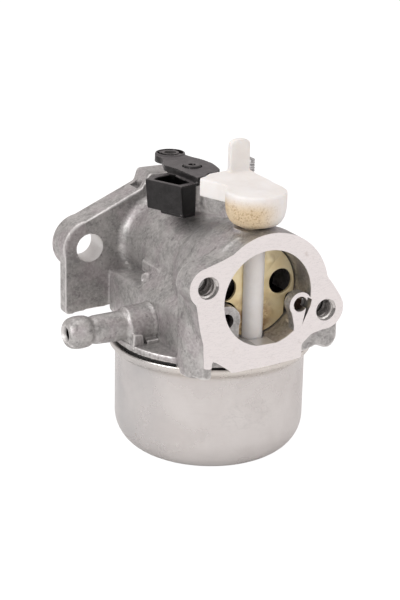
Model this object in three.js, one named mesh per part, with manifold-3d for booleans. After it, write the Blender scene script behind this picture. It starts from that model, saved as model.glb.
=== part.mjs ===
// Small-engine carburetor, built as separate named pieces. Millimetres, +Z up.
// The origin is the centre of the throttle bore on the engine face. +Y points to the engine,
// the air intake faces -Y and +X is to the right when the intake is seen from the front.
import * as THREE from "three";
import { mergeVertices } from "three/addons/utils/BufferGeometryUtils.js";
import Module from "manifold-3d";

const wasm = await Module();
wasm.setup();

// Driving dimensions.
const LENGTH = 66.85; // engine face to air-cleaner face
const FACE_Y = -LENGTH;
const CHOKE_BORE_R = 13.08;
const VENTURI_R = 8.2;
const THROTTLE_BORE_R = 9.6;
const BARREL_R = 13;
const CHOKE_Y = -58.2; // choke shaft axis, at x = 0
const THROTTLE_Y = -23.7; // throttle shaft axis, at x = 0
const BOWL_Y = -36; // bowl axis, at x = 0
const BOWL_R = 26.35;
const BOWL_LIP_R = 28.2;
const BOWL_TOP_Z = -20.3;
const BOWL_BOTTOM_Z = -51.9;
const BOWL_CORNER_R = 9.7;
const BOWL_WALL = 0.9;
const LID_BOTTOM_Z = -19.1;
const LID_TOP_Z = -17.6;
const LID_R = 27.3;
const ENGINE_HOLE_X = 23.7; // the two engine-mount holes
const ENGINE_HOLE_R = 4.05;
const FLANGE_T = 8;
const AIR_FLANGE_T = 8;
const COVER_HOLES = [[-17.8, 5.3], [18.0, -5.8]]; // air-cleaner screw holes in the intake face
const COVER_HOLE_R = 3.05;
const BARB_Z = -13.4; // fuel inlet axis, at y = BOWL_Y
const NEEDLE_X = -14.5; // inlet valve axis, at y = BOWL_Y
const FLOAT_PIN_X = -21.5;
const FLOAT_PIN_Z = -25;
const MIXTURE_X = 12.3; // idle mixture screw axis
const MIXTURE_Y = -32;
const GAP = 0.3; // space left between neighbouring pieces

// Turns a three.js geometry into a manifold-3d solid whose faces point outwards.
function solid(geometry) {
  const g = geometry.clone();
  g.deleteAttribute("normal");
  g.deleteAttribute("uv");
  const merged = mergeVertices(g, 1e-4);
  const position = merged.attributes.position;
  const index = merged.index.array;
  const triangles = [];
  let volume = 0;
  for (let i = 0; i < index.length; i += 3) {
    const [a, b, c] = [index[i], index[i + 1], index[i + 2]];
    if (a === b || b === c || c === a) continue;
    triangles.push(a, b, c);
    const p = new THREE.Vector3().fromBufferAttribute(position, a);
    const q = new THREE.Vector3().fromBufferAttribute(position, b);
    const r = new THREE.Vector3().fromBufferAttribute(position, c);
    volume += p.dot(q.cross(r));
  }
  if (volume < 0)
    for (let i = 0; i < triangles.length; i += 3)
      [triangles[i + 1], triangles[i + 2]] = [triangles[i + 2], triangles[i + 1]];
  return new wasm.Manifold(
    new wasm.Mesh({
      numProp: 3,
      vertProperties: new Float32Array(position.array),
      triVerts: new Uint32Array(triangles),
    }),
  );
}

// A box from its low corner to its high corner.
function box(low, high) {
  const size = high.map((h, i) => h - low[i]);
  const g = new THREE.BoxGeometry(...size);
  return solid(g.translate(...low.map((l, i) => l + size[i] / 2)));
}

// A cylinder or cone along an axis ("x", "y" or "z") from one coordinate to another.
// centre holds the other two coordinates in x, y, z order.
function rod(axis, centre, from, to, r, segments = 32, rTo = r) {
  const g = new THREE.CylinderGeometry(rTo, r, to - from, segments);
  const middle = (from + to) / 2;
  if (axis === "x") return solid(g.rotateZ(-Math.PI / 2).translate(middle, centre[0], centre[1]));
  if (axis === "y") return solid(g.translate(centre[0], middle, centre[1]));
  return solid(g.rotateX(Math.PI / 2).translate(centre[0], centre[1], middle));
}

// A turned shape: profile is a list of [radius, distance along the axis].
function turned(axis, centre, profile, segments = 48) {
  const g = new THREE.LatheGeometry(profile.map(([r, h]) => new THREE.Vector2(r, h)), segments);
  if (axis === "x") return solid(g.rotateZ(-Math.PI / 2).translate(0, centre[0], centre[1]));
  if (axis === "y") return solid(g.translate(centre[0], 0, centre[1]));
  return solid(g.rotateX(Math.PI / 2).translate(centre[0], centre[1], 0));
}

// An outline with optional rounded corners: points are [u, v] or [u, v, corner radius].
function outline(points) {
  const shape = new THREE.Shape();
  points.forEach(([u, v, r = 0], i) => {
    const before = points[(i + points.length - 1) % points.length];
    const after = points[(i + 1) % points.length];
    const corner = new THREE.Vector2(u, v);
    const back = new THREE.Vector2(before[0], before[1]).sub(corner);
    const on = new THREE.Vector2(after[0], after[1]).sub(corner);
    if (r > 0) {
      const reach = Math.min(r, back.length() * 0.49, on.length() * 0.49);
      const start = corner.clone().add(back.setLength(reach));
      const end = corner.clone().add(on.setLength(reach));
      if (i === 0) shape.moveTo(start.x, start.y);
      else shape.lineTo(start.x, start.y);
      shape.quadraticCurveTo(u, v, end.x, end.y);
    } else if (i === 0) shape.moveTo(u, v);
    else shape.lineTo(u, v);
  });
  shape.closePath();
  return shape;
}

// A flat outline pushed along an axis. It is drawn in x,y for "z", x,z for "y" and y,z for "x".
function slab(axis, points, from, to, curveSegments = 5) {
  const g = new THREE.ExtrudeGeometry(outline(points), {
    depth: to - from,
    bevelEnabled: false,
    curveSegments,
  });
  if (axis === "z") return solid(g.translate(0, 0, from));
  if (axis === "y") return solid(g.rotateX(Math.PI / 2).translate(0, to, 0));
  const x = new THREE.Vector3(1, 0, 0);
  const y = new THREE.Vector3(0, 1, 0);
  const z = new THREE.Vector3(0, 0, 1);
  return solid(g.applyMatrix4(new THREE.Matrix4().makeBasis(y, z, x)).translate(from, 0, 0));
}

// A round wire along a curve of 3-D points.
function wire(points, r, steps, sides = 8) {
  const curve = new THREE.CatmullRomCurve3(points.map((p) => new THREE.Vector3(...p)));
  const ring = new THREE.Shape();
  for (let i = 0; i < sides; i++) {
    const a = (2 * Math.PI * i) / sides;
    if (i === 0) ring.moveTo(r * Math.cos(a), r * Math.sin(a));
    else ring.lineTo(r * Math.cos(a), r * Math.sin(a));
  }
  ring.closePath();
  return solid(new THREE.ExtrudeGeometry(ring, { steps, extrudePath: curve, bevelEnabled: false }));
}

const union = (...solids) => solids.reduce((a, b) => a.add(b));

// Finishes: colour, roughness, metalness.
const CAST = [0x9d9a98, 0.55, 0.85];
const SATIN = [0xd2cec9, 0.35, 0.9];
const STEEL = [0xb4b4b6, 0.3, 1];
const BRASS = [0xd9c07c, 0.35, 0.9];
const ZINC_GOLD = [0xe0c88c, 0.4, 0.8];
const WHITE_PLASTIC = [0xeeebe6, 0.45, 0];
const BLACK_PLASTIC = [0x2b2a2b, 0.5, 0];
const RUBBER = [0x151515, 0.8, 0];
const FLOAT_PLASTIC = [0x1d1d1f, 0.5, 0];

const group = new THREE.Group();

// Adds one finished solid to the group as its own named mesh.
function piece(name, body, [color, roughness, metalness]) {
  const data = body.getMesh();
  const vertices = new Float32Array(data.numVert * 3);
  for (let i = 0; i < data.numVert; i++)
    vertices.set(data.vertProperties.subarray(i * data.numProp, i * data.numProp + 3), i * 3);
  const indexed = new THREE.BufferGeometry();
  indexed.setAttribute("position", new THREE.BufferAttribute(vertices, 3));
  indexed.setIndex(new THREE.BufferAttribute(new Uint32Array(data.triVerts), 1));
  const g = indexed.toNonIndexed();
  g.computeVertexNormals();
  const mesh = new THREE.Mesh(g, new THREE.MeshStandardMaterial({ color, roughness, metalness }));
  mesh.name = name;
  group.add(mesh);
}

// ---------------------------------------------------------------- carburetor body
// The air-cleaner flange is a round horn mouth, an ear at each screw hole and a foot down to the bowl.
const AIR_FLANGE_BACK_Y = FACE_Y + AIR_FLANGE_T;
const AIR_FOOT = [
  [-21.2, 1.4], [-19.9, -6.2], [-18.9, -10], [-18.6, -16.7], [-16.4, -17.2], [-16.4, -14.6], [-11.4, -18.1],
  [-10.3, -19.2], [3.3, -18.8], [10.9, -18.2], [10.8, -13.6, 1], [13.5, -12], [17.2, -11.2], [22.6, -2.8],
  [19.4, 1.9, 2], [17.3, 4.4], [14, 9], [-9, 14], [-14, 12, 2], [-18.2, 10.8],
];
const airFlange = union(
  rod("y", [0.9, 0.1], FACE_Y, AIR_FLANGE_BACK_Y, 17.5, 56),
  ...COVER_HOLES.map(([x, z]) => rod("y", [x, z], FACE_Y, AIR_FLANGE_BACK_Y, 5.4, 36)),
  slab("y", AIR_FOOT, FACE_Y, AIR_FLANGE_BACK_Y),
);
// The engine flange is a thin sheet with two thick lobes for the studs and a raised block on top.
const SHEET_BACK_Y = -4;
const LOBE_FRONT_Y = -7.8;
const ENGINE_SHEET = [
  [-31.2, -19.2, 1.5], [-31.2, 1, 3], [-29.2, 5.8, 3], [-24.5, 8, 3], [-8, 14.4, 3], [-5.1, 19.4, 0.8],
  [5.1, 19.4, 0.8], [8, 14.4, 3], [24.5, 8, 3], [29.5, 5, 3], [31.4, 0, 3], [29.5, -5, 3], [24.5, -8, 3],
  [8, -16, 3], [-9, -16.2, 2], [-13, -17.8, 2], [-24, -18.3, 2],
];
const lobe = (s) =>
  union(
    rod("y", [s * ENGINE_HOLE_X, 0], LOBE_FRONT_Y, 0, 8, 48),
    slab("y", [[s * 25.5, 7.6], [s * 5.1, 16.4], [0, 0], [s * 7, -15.8], [s * 26.5, -7.4]], LOBE_FRONT_Y, 0),
  );
const engineFlange = union(
  slab("y", ENGINE_SHEET, -FLANGE_T, SHEET_BACK_Y),
  lobe(-1),
  lobe(1),
  slab("y", [[-6.9, 14], [-5.1, 19.4, 0.8], [5.1, 19.4, 0.8], [6.9, 14]], LOBE_FRONT_Y, 0),
);
// Front column beside the intake, with a lug that hangs in front of the bowl lip.
const COLUMN_SIDE = [[-20.2, -60, 1], [-20.3, -54.2, 1.2], [-16, -51]];
let body = union(
  engineFlange,
  // throttle barrel, waist and choke horn in one turned shape, with the sealing ring of the engine face
  turned("y", [0, 0], [
    [0, -62], [17.5, -62], [17.3, -56], [16.9, -50], [15.6, -43.2], [BARREL_R + 0.2, -38.6], [BARREL_R, -36],
    [BARREL_R, -12], [BARREL_R + 0.3, -10.2], [14, -8.8], [15.2, -7.8], [15.2, 0], [0, 0],
  ], 48),
  airFlange,
  slab("y", [[-16.8, -13], [-16.8, -17.6], [-9.5, -18.6], [-9.5, -13]], -64.6, -58),
  // left shoulder: a ledge that stops short of the engine flange, a sloping panel and a short rib
  slab("x", [[-54, -18.1], [-54, -5.3], [-14, -6], [-10.4, -6.8, 1.4], [-9.9, -18.1]], -19, -6),
  slab("y", [[-18.6, -18.1], [-18.4, -6.2], [-13.6, -0.8, 0.5], [-9, 3], [-5, 5], [-5, -18.1]], -54, -28),
  slab("x", [[-21.5, -4], [-21.5, -0.6], [-31, -0.6], [-34, -3]], -14.2, -11.5),
  box([-17.5, -12, -17], [-6, -7, -8]),
  // the floor under the front column
  box([-16, -60, -18.1], [-5, -51, -16]),
  // right shoulder, and the core between the two
  slab("y", [[5, -18.1], [5, 4], [12.6, 0.5, 1], [16, -8, 1], [16, -18.1]], -60, -13),
  box([-6, -60, -18.1], [6, -7.9, -4]),
  slab("z", [[-18.5, -66.4], ...COLUMN_SIDE, [-5, -51], [-5, -59.5], [-15.6, -60.5], [-15.6, -66.4]], -17, 5.4),
  slab("z", [[-18.3, -66, 0.8], ...COLUMN_SIDE, [-15.4, -60], [-15.6, -66, 0.8]], -20.4, -16.5),
  slab("z", [[-18.5, -62, 0.8], ...COLUMN_SIDE, [-15.4, -62]], -21.3, -19),
  // lug under the right ear
  slab("y", [
    [9.5, -7], [24.6, -9, 1], [24.7, -16.4, 1.6], [22.7, -18.7, 1], [20.8, -18.5], [18.2, -17.4], [14.4, -18.6],
    [9.5, -18.2],
  ], -62.5, -56.5),
  // the lid over the bowl
  rod("z", [0, BOWL_Y], LID_BOTTOM_Z, LID_TOP_Z, LID_R, 56),
  // throttle shaft boss, choke shaft boss and idle mixture boss
  rod("z", [0, THROTTLE_Y], 9, 21.2, 3.8, 28),
  rod("z", [0, THROTTLE_Y], 9, 14, 6.6, 32, 4.2),
  rod("z", [0, THROTTLE_Y], -15.5, -8, 5, 28),
  rod("z", [0, CHOKE_Y], 10, 17.3, 5.6, 28),
  rod("z", [MIXTURE_X, MIXTURE_Y], -6, 16.5, 3.7, 28),
  // jet column down the middle of the bowl
  rod("z", [0, BOWL_Y], -41, LID_BOTTOM_Z + 0.5, 4.8, 32),
  // float hinge ears under the lid
  box([FLOAT_PIN_X - 2.2, BOWL_Y - 5.8, FLOAT_PIN_Z - 2], [FLOAT_PIN_X + 2, BOWL_Y - 3.6, LID_BOTTOM_Z + 0.5]),
  box([FLOAT_PIN_X - 2.2, BOWL_Y + 3.6, FLOAT_PIN_Z - 2], [FLOAT_PIN_X + 2, BOWL_Y + 5.8, LID_BOTTOM_Z + 0.5]),
);
// Fuel inlet: hose barb, shank and boss in one casting along -X, with its web and a small pad.
const barb = turned("x", [BOWL_Y, BARB_Z], [
  [0, -43.9], [2.9, -43.9], [3.7, -43.4], [4.25, -42.3], [4.45, -40.8], [4.4, -38.6], [4.1, -37.5], [3.65, -36.7],
  [3.75, -36], [3.95, -34.5], [4.1, -28.4], [4.4, -27.3], [5, -26.6], [5.1, -22], [5.2, -17], [0, -17],
], 40);
body = union(
  body,
  barb,
  slab("y", [[-26.8, -18.1], [-26.6, -14.2, 0.4], [-23.9, -14.6, 0.4], [-23.4, -18.1]], -42.2, -36),
  slab("y", [[-24, -18.1], [-24, -16], [-18, -15.4], [-18, -18.1]], -39.6, -33),
  slab("y", [[-22.6, -18.1], [-22.4, -16.7, 0.3], [-19, -16.5], [-18.8, -18.1]], -42, -38),
);

// The main bore: choke end, venturi and throttle end.
const bore = turned("y", [0, 0], [
  [0, FACE_Y - 1], [CHOKE_BORE_R, FACE_Y - 1], [CHOKE_BORE_R, -50], [11.6, -46.5], [9.2, -42.6], [VENTURI_R, -39.6],
  [VENTURI_R, -36.8], [8.7, -33.6], [THROTTLE_BORE_R, -30.4], [THROTTLE_BORE_R, 1], [0, 1],
], 60);
// What stands inside the bore: the two passage bosses and the bulge behind the right one.
const inside = union(
  rod("y", [-8.9, -7.1], -60.9, -47, 4.3, 36),
  slab("y", [[-13, -7.1], [-4.9, -8.2, 0.8], [-5.1, -12.8], [-13, -12.8]], -60.9, -47),
  rod("y", [10, -3.1], FACE_Y, FACE_Y + 3.2, 3.3, 36),
  slab("y", [[9.2, -6.3], [12.6, -1.6], [13.1, -2.6, 0.4], [11.1, -8.4], [12.5, -14], [8.5, -14], [8, -9]], FACE_Y, FACE_Y + 3.2),
  rod("y", [13.7, -6.2], FACE_Y + 3, -47, 3.3, 28),
  // the floor of the intake is slightly flat
  box([-9, FACE_Y, -14], [9, -62, -12.75]),
).intersect(rod("y", [0, 0], FACE_Y, -46, CHOKE_BORE_R + 1, 48));
body = body.subtract(bore.subtract(inside));
// Drilled holes, shaft bearings and passages.
const holes = [
  ...COVER_HOLES.map(([x, z]) => rod("y", [x, z], FACE_Y - 1, FACE_Y + 11, COVER_HOLE_R, 32)),
  rod("y", [-8.9, -7.1], -61.5, -55.5, 2.1, 24),
  rod("y", [10, -3.1], FACE_Y - 1, -57.5, 2.1, 24),
  ...[-1, 1].map((s) => rod("y", [s * ENGINE_HOLE_X, 0], -FLANGE_T - 1, 1, ENGINE_HOLE_R, 40)),
  rod("z", [0, CHOKE_Y], -15.5, 20, 3.2 + GAP, 36),
  rod("z", [0, THROTTLE_Y], -13.2, 24, 2.6 + GAP, 32),
  rod("z", [MIXTURE_X, MIXTURE_Y], 1, 20, 1.6 + GAP, 24),
  rod("x", [BOWL_Y, BARB_Z], -45, -13.5, 1.6, 20),
  // the gap between the right passage boss and the wall of the intake
  slab("y", [[12.1, -1.4], [13.5, -2.2], [13.1, -4], [10.7, -9], [11.6, -5]], FACE_Y - 1, FACE_Y + 3),
  rod("z", [NEEDLE_X, BOWL_Y], LID_BOTTOM_Z - 1, -14.6, 2.6 + GAP, 28),
  rod("z", [NEEDLE_X, BOWL_Y], -15, -12.5, 1.1, 16),
  rod("z", [0, BOWL_Y], -46, -5, 2.4 + GAP, 28),
  rod("z", [10.5, -44], -24, -12.8, 1.5 + GAP, 20),
  rod("y", [FLOAT_PIN_X, FLOAT_PIN_Z], BOWL_Y - 8, BOWL_Y + 8, 0.8 + GAP, 16),
  // room for the bowl lip behind the front column
  turned("z", [0, BOWL_Y], [[LID_R + 0.1, -23], [28.9, -23], [28.9, -19.9], [LID_R + 0.1, -19.9], [LID_R + 0.1, -23]], 56),
  rod("z", [0, BOWL_Y], -23, LID_BOTTOM_Z, LID_R + 0.2, 56).subtract(
    union(
      rod("z", [0, BOWL_Y], -24, -18, 4.8, 32),
      box([FLOAT_PIN_X - 2.2, BOWL_Y - 5.8, -24], [FLOAT_PIN_X + 2, BOWL_Y - 3.6, -18]),
      box([FLOAT_PIN_X - 2.2, BOWL_Y + 3.6, -24], [FLOAT_PIN_X + 2, BOWL_Y + 5.8, -18]),
    ),
  ),
  // small dark notch beside the raised block on the engine flange
  box([-8.2, -6.4, 14.9], [-6.2, -1.6, 17.2]),
];
body = body.subtract(union(...holes));
piece("carburetor_body", body, CAST);

// ---------------------------------------------------------------- float bowl and its fixings
const BOTTOM_STEP = 1.2; // how far the middle of the bowl's bottom steps up round the nut
const MIDDLE_Z = BOWL_BOTTOM_Z + BOTTOM_STEP;
const corner = (radius, steps) =>
  Array.from({ length: steps + 1 }, (_, i) => {
    const a = (Math.PI / 2) * (i / steps);
    return [BOWL_R - BOWL_CORNER_R + radius * Math.sin(a), BOWL_BOTTOM_Z + BOWL_CORNER_R - radius * Math.cos(a)];
  });
const bowlProfile = [
  [3.6, MIDDLE_Z], [7, MIDDLE_Z], [8.6, BOWL_BOTTOM_Z], ...corner(BOWL_CORNER_R, 6), [BOWL_R, -23.6],
  [BOWL_LIP_R, -21.6], [BOWL_LIP_R, BOWL_TOP_Z], [BOWL_LIP_R - 1.6, BOWL_TOP_Z], [BOWL_R - BOWL_WALL, -23.2],
  ...corner(BOWL_CORNER_R - BOWL_WALL, 5).reverse(), [8.9, BOWL_BOTTOM_Z + BOWL_WALL],
  [7.3, MIDDLE_Z + BOWL_WALL], [3.6, MIDDLE_Z + BOWL_WALL], [3.6, MIDDLE_Z],
];
piece("float_bowl", turned("z", [0, BOWL_Y], bowlProfile, 48), SATIN);
const gasketProfile = [[25.4, -19.95], [27.2, -19.95], [27.2, -19.4], [25.4, -19.4], [25.4, -19.95]];
piece("bowl_gasket", turned("z", [0, BOWL_Y], gasketProfile, 48), RUBBER);
const hexagon = (r) =>
  Array.from({ length: 6 }, (_, i) => [r * Math.cos((i * Math.PI) / 3), BOWL_Y + r * Math.sin((i * Math.PI) / 3)]);
const washerTop = MIDDLE_Z - GAP;
const washerProfile = [[3.1, washerTop - 1], [6, washerTop - 1], [6, washerTop], [3.1, washerTop], [3.1, washerTop - 1]];
piece("bowl_nut_washer", turned("z", [0, BOWL_Y], washerProfile, 32), RUBBER);
const nutTop = washerTop - 1 - 0.2;
piece(
  "bowl_nut",
  union(
    slab("z", hexagon(5.6), nutTop - 3.8, nutTop - 0.6),
    rod("z", [0, BOWL_Y], nutTop - 0.7, nutTop, 6.1, 32),
    rod("z", [0, BOWL_Y], nutTop - 0.2, -43.2, 2.4, 24),
  ).subtract(rod("z", [0, BOWL_Y], -46, -43, 1.1, 16)),
  BRASS,
);

// ---------------------------------------------------------------- jets and nozzle
const nozzleProfile = [
  [0.9, -40.5], [2.4, -40.5], [2.4, -14], [1.8, -12.6], [1.8, -5.4], [1.2, -5], [0.9, -5], [0.9, -40.5],
];
piece("main_nozzle", turned("z", [0, BOWL_Y], nozzleProfile, 28), BRASS);
piece("idle_jet", turned("z", [10.5, -44], [[0.5, -21.4], [1.5, -21.4], [1.5, -14], [0.5, -14], [0.5, -21.4]], 20), BRASS);

// ---------------------------------------------------------------- inlet valve and float
const seatProfile = [[1.3, -20.6], [2.6, -20.6], [2.6, -15], [0.8, -15], [0.8, -16.9], [1.3, -17.9], [1.3, -20.6]];
piece("inlet_seat", turned("z", [NEEDLE_X, BOWL_Y], seatProfile, 28), BRASS);
const needleProfile = [
  [0, -25.2], [0.9, -25.2], [0.9, -24.4], [0.5, -24.2], [0.5, -23.7], [1, -23.5], [1, -19.9], [0.25, -18.6], [0, -18.6],
];
piece("inlet_needle", turned("z", [NEEDLE_X, BOWL_Y], needleProfile, 20), STEEL);
piece("float_pin", rod("y", [FLOAT_PIN_X, FLOAT_PIN_Z], BOWL_Y - 7, BOWL_Y + 7, 0.8, 16), STEEL);
const floatRing = rod("z", [0, BOWL_Y], -40, -30.2, 21, 48)
  .subtract(rod("z", [0, BOWL_Y], -41, -29, 8.4, 36))
  .subtract(box([-26, BOWL_Y - 6.4, -41], [-9, BOWL_Y + 6.4, -29]));
const floatArm = union(
  box([-12, BOWL_Y - 6.9, -32.4], [-9.6, BOWL_Y + 6.9, -30.2]),
  box([-13.2, BOWL_Y - 2.9, -32.2], [-9.7, BOWL_Y + 2.9, -25.7]),
  box([FLOAT_PIN_X - 1, BOWL_Y - 2.9, -26.7], [-11, BOWL_Y + 2.9, -25.6]),
  rod("y", [FLOAT_PIN_X, FLOAT_PIN_Z], BOWL_Y - 2.9, BOWL_Y + 2.9, 2.1, 20),
).subtract(rod("y", [FLOAT_PIN_X, FLOAT_PIN_Z], BOWL_Y - 4, BOWL_Y + 4, 0.8 + 0.2, 16));
piece("float", union(floatRing, floatArm), FLOAT_PLASTIC);

// ---------------------------------------------------------------- choke valve
// The shaft, its cup and the lever are one moulding. The lever runs back to an upright tab.
const cupProfile = [
  [0, 17.9], [5, 17.9], [6.4, 18.5], [7.4, 19.8], [7.9, 21.6], [8.1, 23.4], [8.1, 26.6], [7.8, 27], [0, 27],
];
const CHOKE_LEVER = [
  [8.5, -58.5], [9.1, -39.6, 1.2], [8.4, -38.3, 0.8], [2.9, -37.8, 0.6], [-3.2, -38.9, 1], [-5.2, -40.9, 0.8],
  [-7.8, -41.9, 1], [-4.4, -50.5], [-6.5, -56], [-6.5, -60],
];
let chokeShaft = union(
  turned("z", [0.5, CHOKE_Y], cupProfile, 40),
  slab("z", CHOKE_LEVER, 22.2, 27),
  slab("y", [[2.8, 26.5], [8.9, 26.5], [8.8, 34.9, 1.6], [5.9, 36.4, 3], [3, 35.3, 1.6]], -40.2, -38.2),
  rod("z", [0, CHOKE_Y], -14.6, 18.2, 3.2, 36),
);
const chokeSlot = box([-13.4, CHOKE_Y - 0.7, -13.2], [13.4, CHOKE_Y + 0.7, 13.2]);
chokeShaft = chokeShaft.subtract(chokeSlot);
piece("choke_shaft_lever", chokeShaft, WHITE_PLASTIC);
// The plate is cut away at the lower corners for the passage bosses and has two air holes.
const chokePlate = rod("y", [0, 0], CHOKE_Y - 0.4, CHOKE_Y + 0.4, 12.72, 64)
  .subtract(union(
    rod("y", [-8.9, -7.1], CHOKE_Y - 2, CHOKE_Y + 2, 4.8, 36),
    box([-14, CHOKE_Y - 2, -14], [-4.3, CHOKE_Y + 2, -6.6]),
    slab("y", [[9.6, -14], [9.8, -4.4, 1.6], [10.6, -2.4, 1.2], [14, -2.2], [14, -14]], CHOKE_Y - 2, CHOKE_Y + 2),
    slab("y", [[4.5, -14], [4.6, -12], [8.9, -10.3, 1], [9.9, -8.4, 1], [11, -8], [11, -14]], CHOKE_Y - 2, CHOKE_Y + 2),
    rod("y", [8.5, 1.1], CHOKE_Y - 2, CHOKE_Y + 2, 3.5, 32),
    rod("y", [-8.5, 1.1], CHOKE_Y - 2, CHOKE_Y + 2, 3.5, 32),
  ))
  .subtract(box([-14, CHOKE_Y - 2, -14], [14, CHOKE_Y + 2, -12.45]));
const dimple = (z) => turned("y", [5.1, z], [[0, CHOKE_Y - 0.9], [0.9, CHOKE_Y - 0.8], [1.7, CHOKE_Y - 0.2], [0, CHOKE_Y - 0.2]], 16);
piece("choke_plate", union(chokePlate, dimple(7.6), dimple(-7.4)), ZINC_GOLD);

// ---------------------------------------------------------------- throttle valve
// The shaft, the lever plate, the link socket and the raised link eye are one moulding.
const THROTTLE_LEVER = [
  [-3.6, -12.4, 2], [-4.2, -9.6, 2], [-2.6, -5.9, 2], [1, -4.6, 2.4], [4.2, -6.8, 2], [4.3, -13.5, 3],
  [6.2, -18, 2], [6.8, -23.4, 2], [5.6, -29.6, 0.8], [3.1, -32, 0.8], [0.4, -31.9, 0.8], [-1.6, -34.3, 0.8],
  [-4.4, -34.8, 0.5], [-5.2, -24.4], [-6.6, -19.6, 1],
];
const SOCKET = [[-14.8, -24.3, 0.6], [-9.6, -35.5, 0.6], [-4.3, -34.3, 0.6], [-4.4, -20.6, 0.6], [-11.4, -22.4, 1]];
const SOCKET_INSIDE = [[-13, -25.6], [-9.2, -33.6], [-5.5, -32.9], [-5.5, -24], [-6.4, -22.9], [-10.6, -23.9]];
let throttleShaft = union(
  slab("z", THROTTLE_LEVER, 23.3, 25),
  slab("z", [[-4.6, -34], [-4.6, -21], [2, -20], [3, -26], [-2, -33]], 22.2, 24),
  slab("z", SOCKET, 14.4, 23.2),
  slab("z", [[-12.4, -27.9], [-9.3, -35.2, 0.6], [-4.3, -34.2, 0.6], [-4.3, -28]], 14, 15),
  rod("z", [1, -8.6], 22.9, 25.6, 4.4, 32, 4.1),
  rod("z", [0, THROTTLE_Y], -12.9, 23, 2.6, 32),
  rod("z", [0, THROTTLE_Y], 24, 25.5, 2.4, 24, 2.2),
)
  .subtract(slab("z", SOCKET_INSIDE, 15.6, 26))
  .subtract(rod("z", [1, -8.6], 21, 27, 1.7, 24))
  .subtract(rod("z", [0, THROTTLE_Y], 24.4, 27, 1.1, 16))
  .subtract(box([-0.8, THROTTLE_Y - 10, -9.8], [0.8, THROTTLE_Y + 10, 9.8]));
const screwHeights = [-4.2, 4.2];
const screwHoles = (r) => union(...screwHeights.map((z) => rod("x", [THROTTLE_Y, z], -4, 4, r, 16)));
throttleShaft = throttleShaft.subtract(screwHoles(1.25));
piece("throttle_shaft_lever", throttleShaft, BLACK_PLASTIC);
piece(
  "throttle_plate",
  rod("x", [THROTTLE_Y, 0], -0.45, 0.45, 9.25, 56).subtract(screwHoles(1.2)),
  BRASS,
);
screwHeights.forEach((z, i) => {
  const profile = [[0, -3], [0.9, -3], [0.9, 2.8], [1.9, 2.8], [1.9, 3.6], [1.2, 4], [0, 4]];
  const screw = turned("x", [THROTTLE_Y, z], profile, 20);
  const slot = box([3.5, THROTTLE_Y - 2.2, z - 0.25], [4.2, THROTTLE_Y + 2.2, z + 0.25]);
  piece(`throttle_plate_screw_${i + 1}`, screw.subtract(slot), STEEL);
});
const sealProfile = [[2.75, 21.4], [3.8, 21.4], [3.8, 22], [2.75, 22], [2.75, 21.4]];
piece("throttle_shaft_seal", turned("z", [0, THROTTLE_Y], sealProfile, 28), RUBBER);

// ---------------------------------------------------------------- idle mixture screw
const screwBody = turned("z", [MIXTURE_X, MIXTURE_Y], [
  [0, 2.6], [0.3, 2.6], [1.2, 7], [1.6, 7.4], [1.6, 24.2], [2.5, 24.4], [2.5, 27.6], [2.2, 28], [0, 28],
], 28);
const screwSlot = box([MIXTURE_X - 3, MIXTURE_Y - 0.4, 26.6], [MIXTURE_X + 3, MIXTURE_Y + 0.4, 29]);
piece("idle_mixture_screw", screwBody.subtract(screwSlot), STEEL);
const coils = 4.5;
const springPoints = Array.from({ length: 12 * coils + 1 }, (_, i) => {
  const a = (2 * Math.PI * i) / 12;
  const z = 17.3 + (6.3 * i) / (12 * coils);
  return [MIXTURE_X + 2.3 * Math.cos(a), MIXTURE_Y + 2.3 * Math.sin(a), z];
});
piece("idle_mixture_spring", wire(springPoints, 0.36, 54, 6), STEEL);

// ---------------------------------------------------------------- pressed plug
// A cup plug closes the drilled idle passage.
piece("idle_passage_plug", rod("x", [-40, -6.5], 16.3, 17.1, 3.2, 28, 2.9), SATIN);

export default group;
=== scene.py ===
import math

import bmesh
import bpy
from mathutils import Matrix, Vector


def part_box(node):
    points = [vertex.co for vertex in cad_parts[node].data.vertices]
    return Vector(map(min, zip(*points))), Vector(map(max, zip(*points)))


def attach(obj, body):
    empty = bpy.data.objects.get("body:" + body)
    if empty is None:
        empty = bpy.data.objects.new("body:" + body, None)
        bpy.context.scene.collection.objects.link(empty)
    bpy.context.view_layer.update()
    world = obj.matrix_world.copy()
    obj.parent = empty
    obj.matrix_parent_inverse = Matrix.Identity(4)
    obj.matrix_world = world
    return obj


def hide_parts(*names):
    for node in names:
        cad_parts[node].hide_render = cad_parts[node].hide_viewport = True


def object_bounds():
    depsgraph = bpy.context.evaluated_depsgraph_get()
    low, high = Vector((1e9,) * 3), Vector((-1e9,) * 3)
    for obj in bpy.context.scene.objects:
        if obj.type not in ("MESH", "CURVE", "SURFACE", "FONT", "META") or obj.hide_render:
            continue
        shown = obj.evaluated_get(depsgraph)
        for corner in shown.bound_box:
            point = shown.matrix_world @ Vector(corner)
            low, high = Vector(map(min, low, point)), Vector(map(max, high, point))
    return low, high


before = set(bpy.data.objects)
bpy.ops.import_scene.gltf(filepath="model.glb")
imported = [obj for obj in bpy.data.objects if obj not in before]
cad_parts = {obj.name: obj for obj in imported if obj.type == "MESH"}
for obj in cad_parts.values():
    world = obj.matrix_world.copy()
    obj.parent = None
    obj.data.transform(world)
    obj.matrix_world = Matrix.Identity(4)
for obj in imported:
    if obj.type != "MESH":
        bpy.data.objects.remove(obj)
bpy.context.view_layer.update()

# ---------------------------------------------------------------- body casting
# The body is one zinc-aluminium die casting: the engine flange, the throttle barrel, the choke horn with
# its air-cleaner flange, the bowl lid and the fuel barb come out of the die together with soft corners.
# The two flange faces are then milled flat and the bores, shaft bearings and screw holes are drilled.
# Pieces are drawn in millimetres and finish_piece turns them into metres. Shaders read places in metres.
MM = 0.001
FACE_Y = -66.85
CHOKE_Y = -58.2
THROTTLE_Y = -23.7
BOWL_Y = -36
LID_TOP_Z = -17.6
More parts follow.
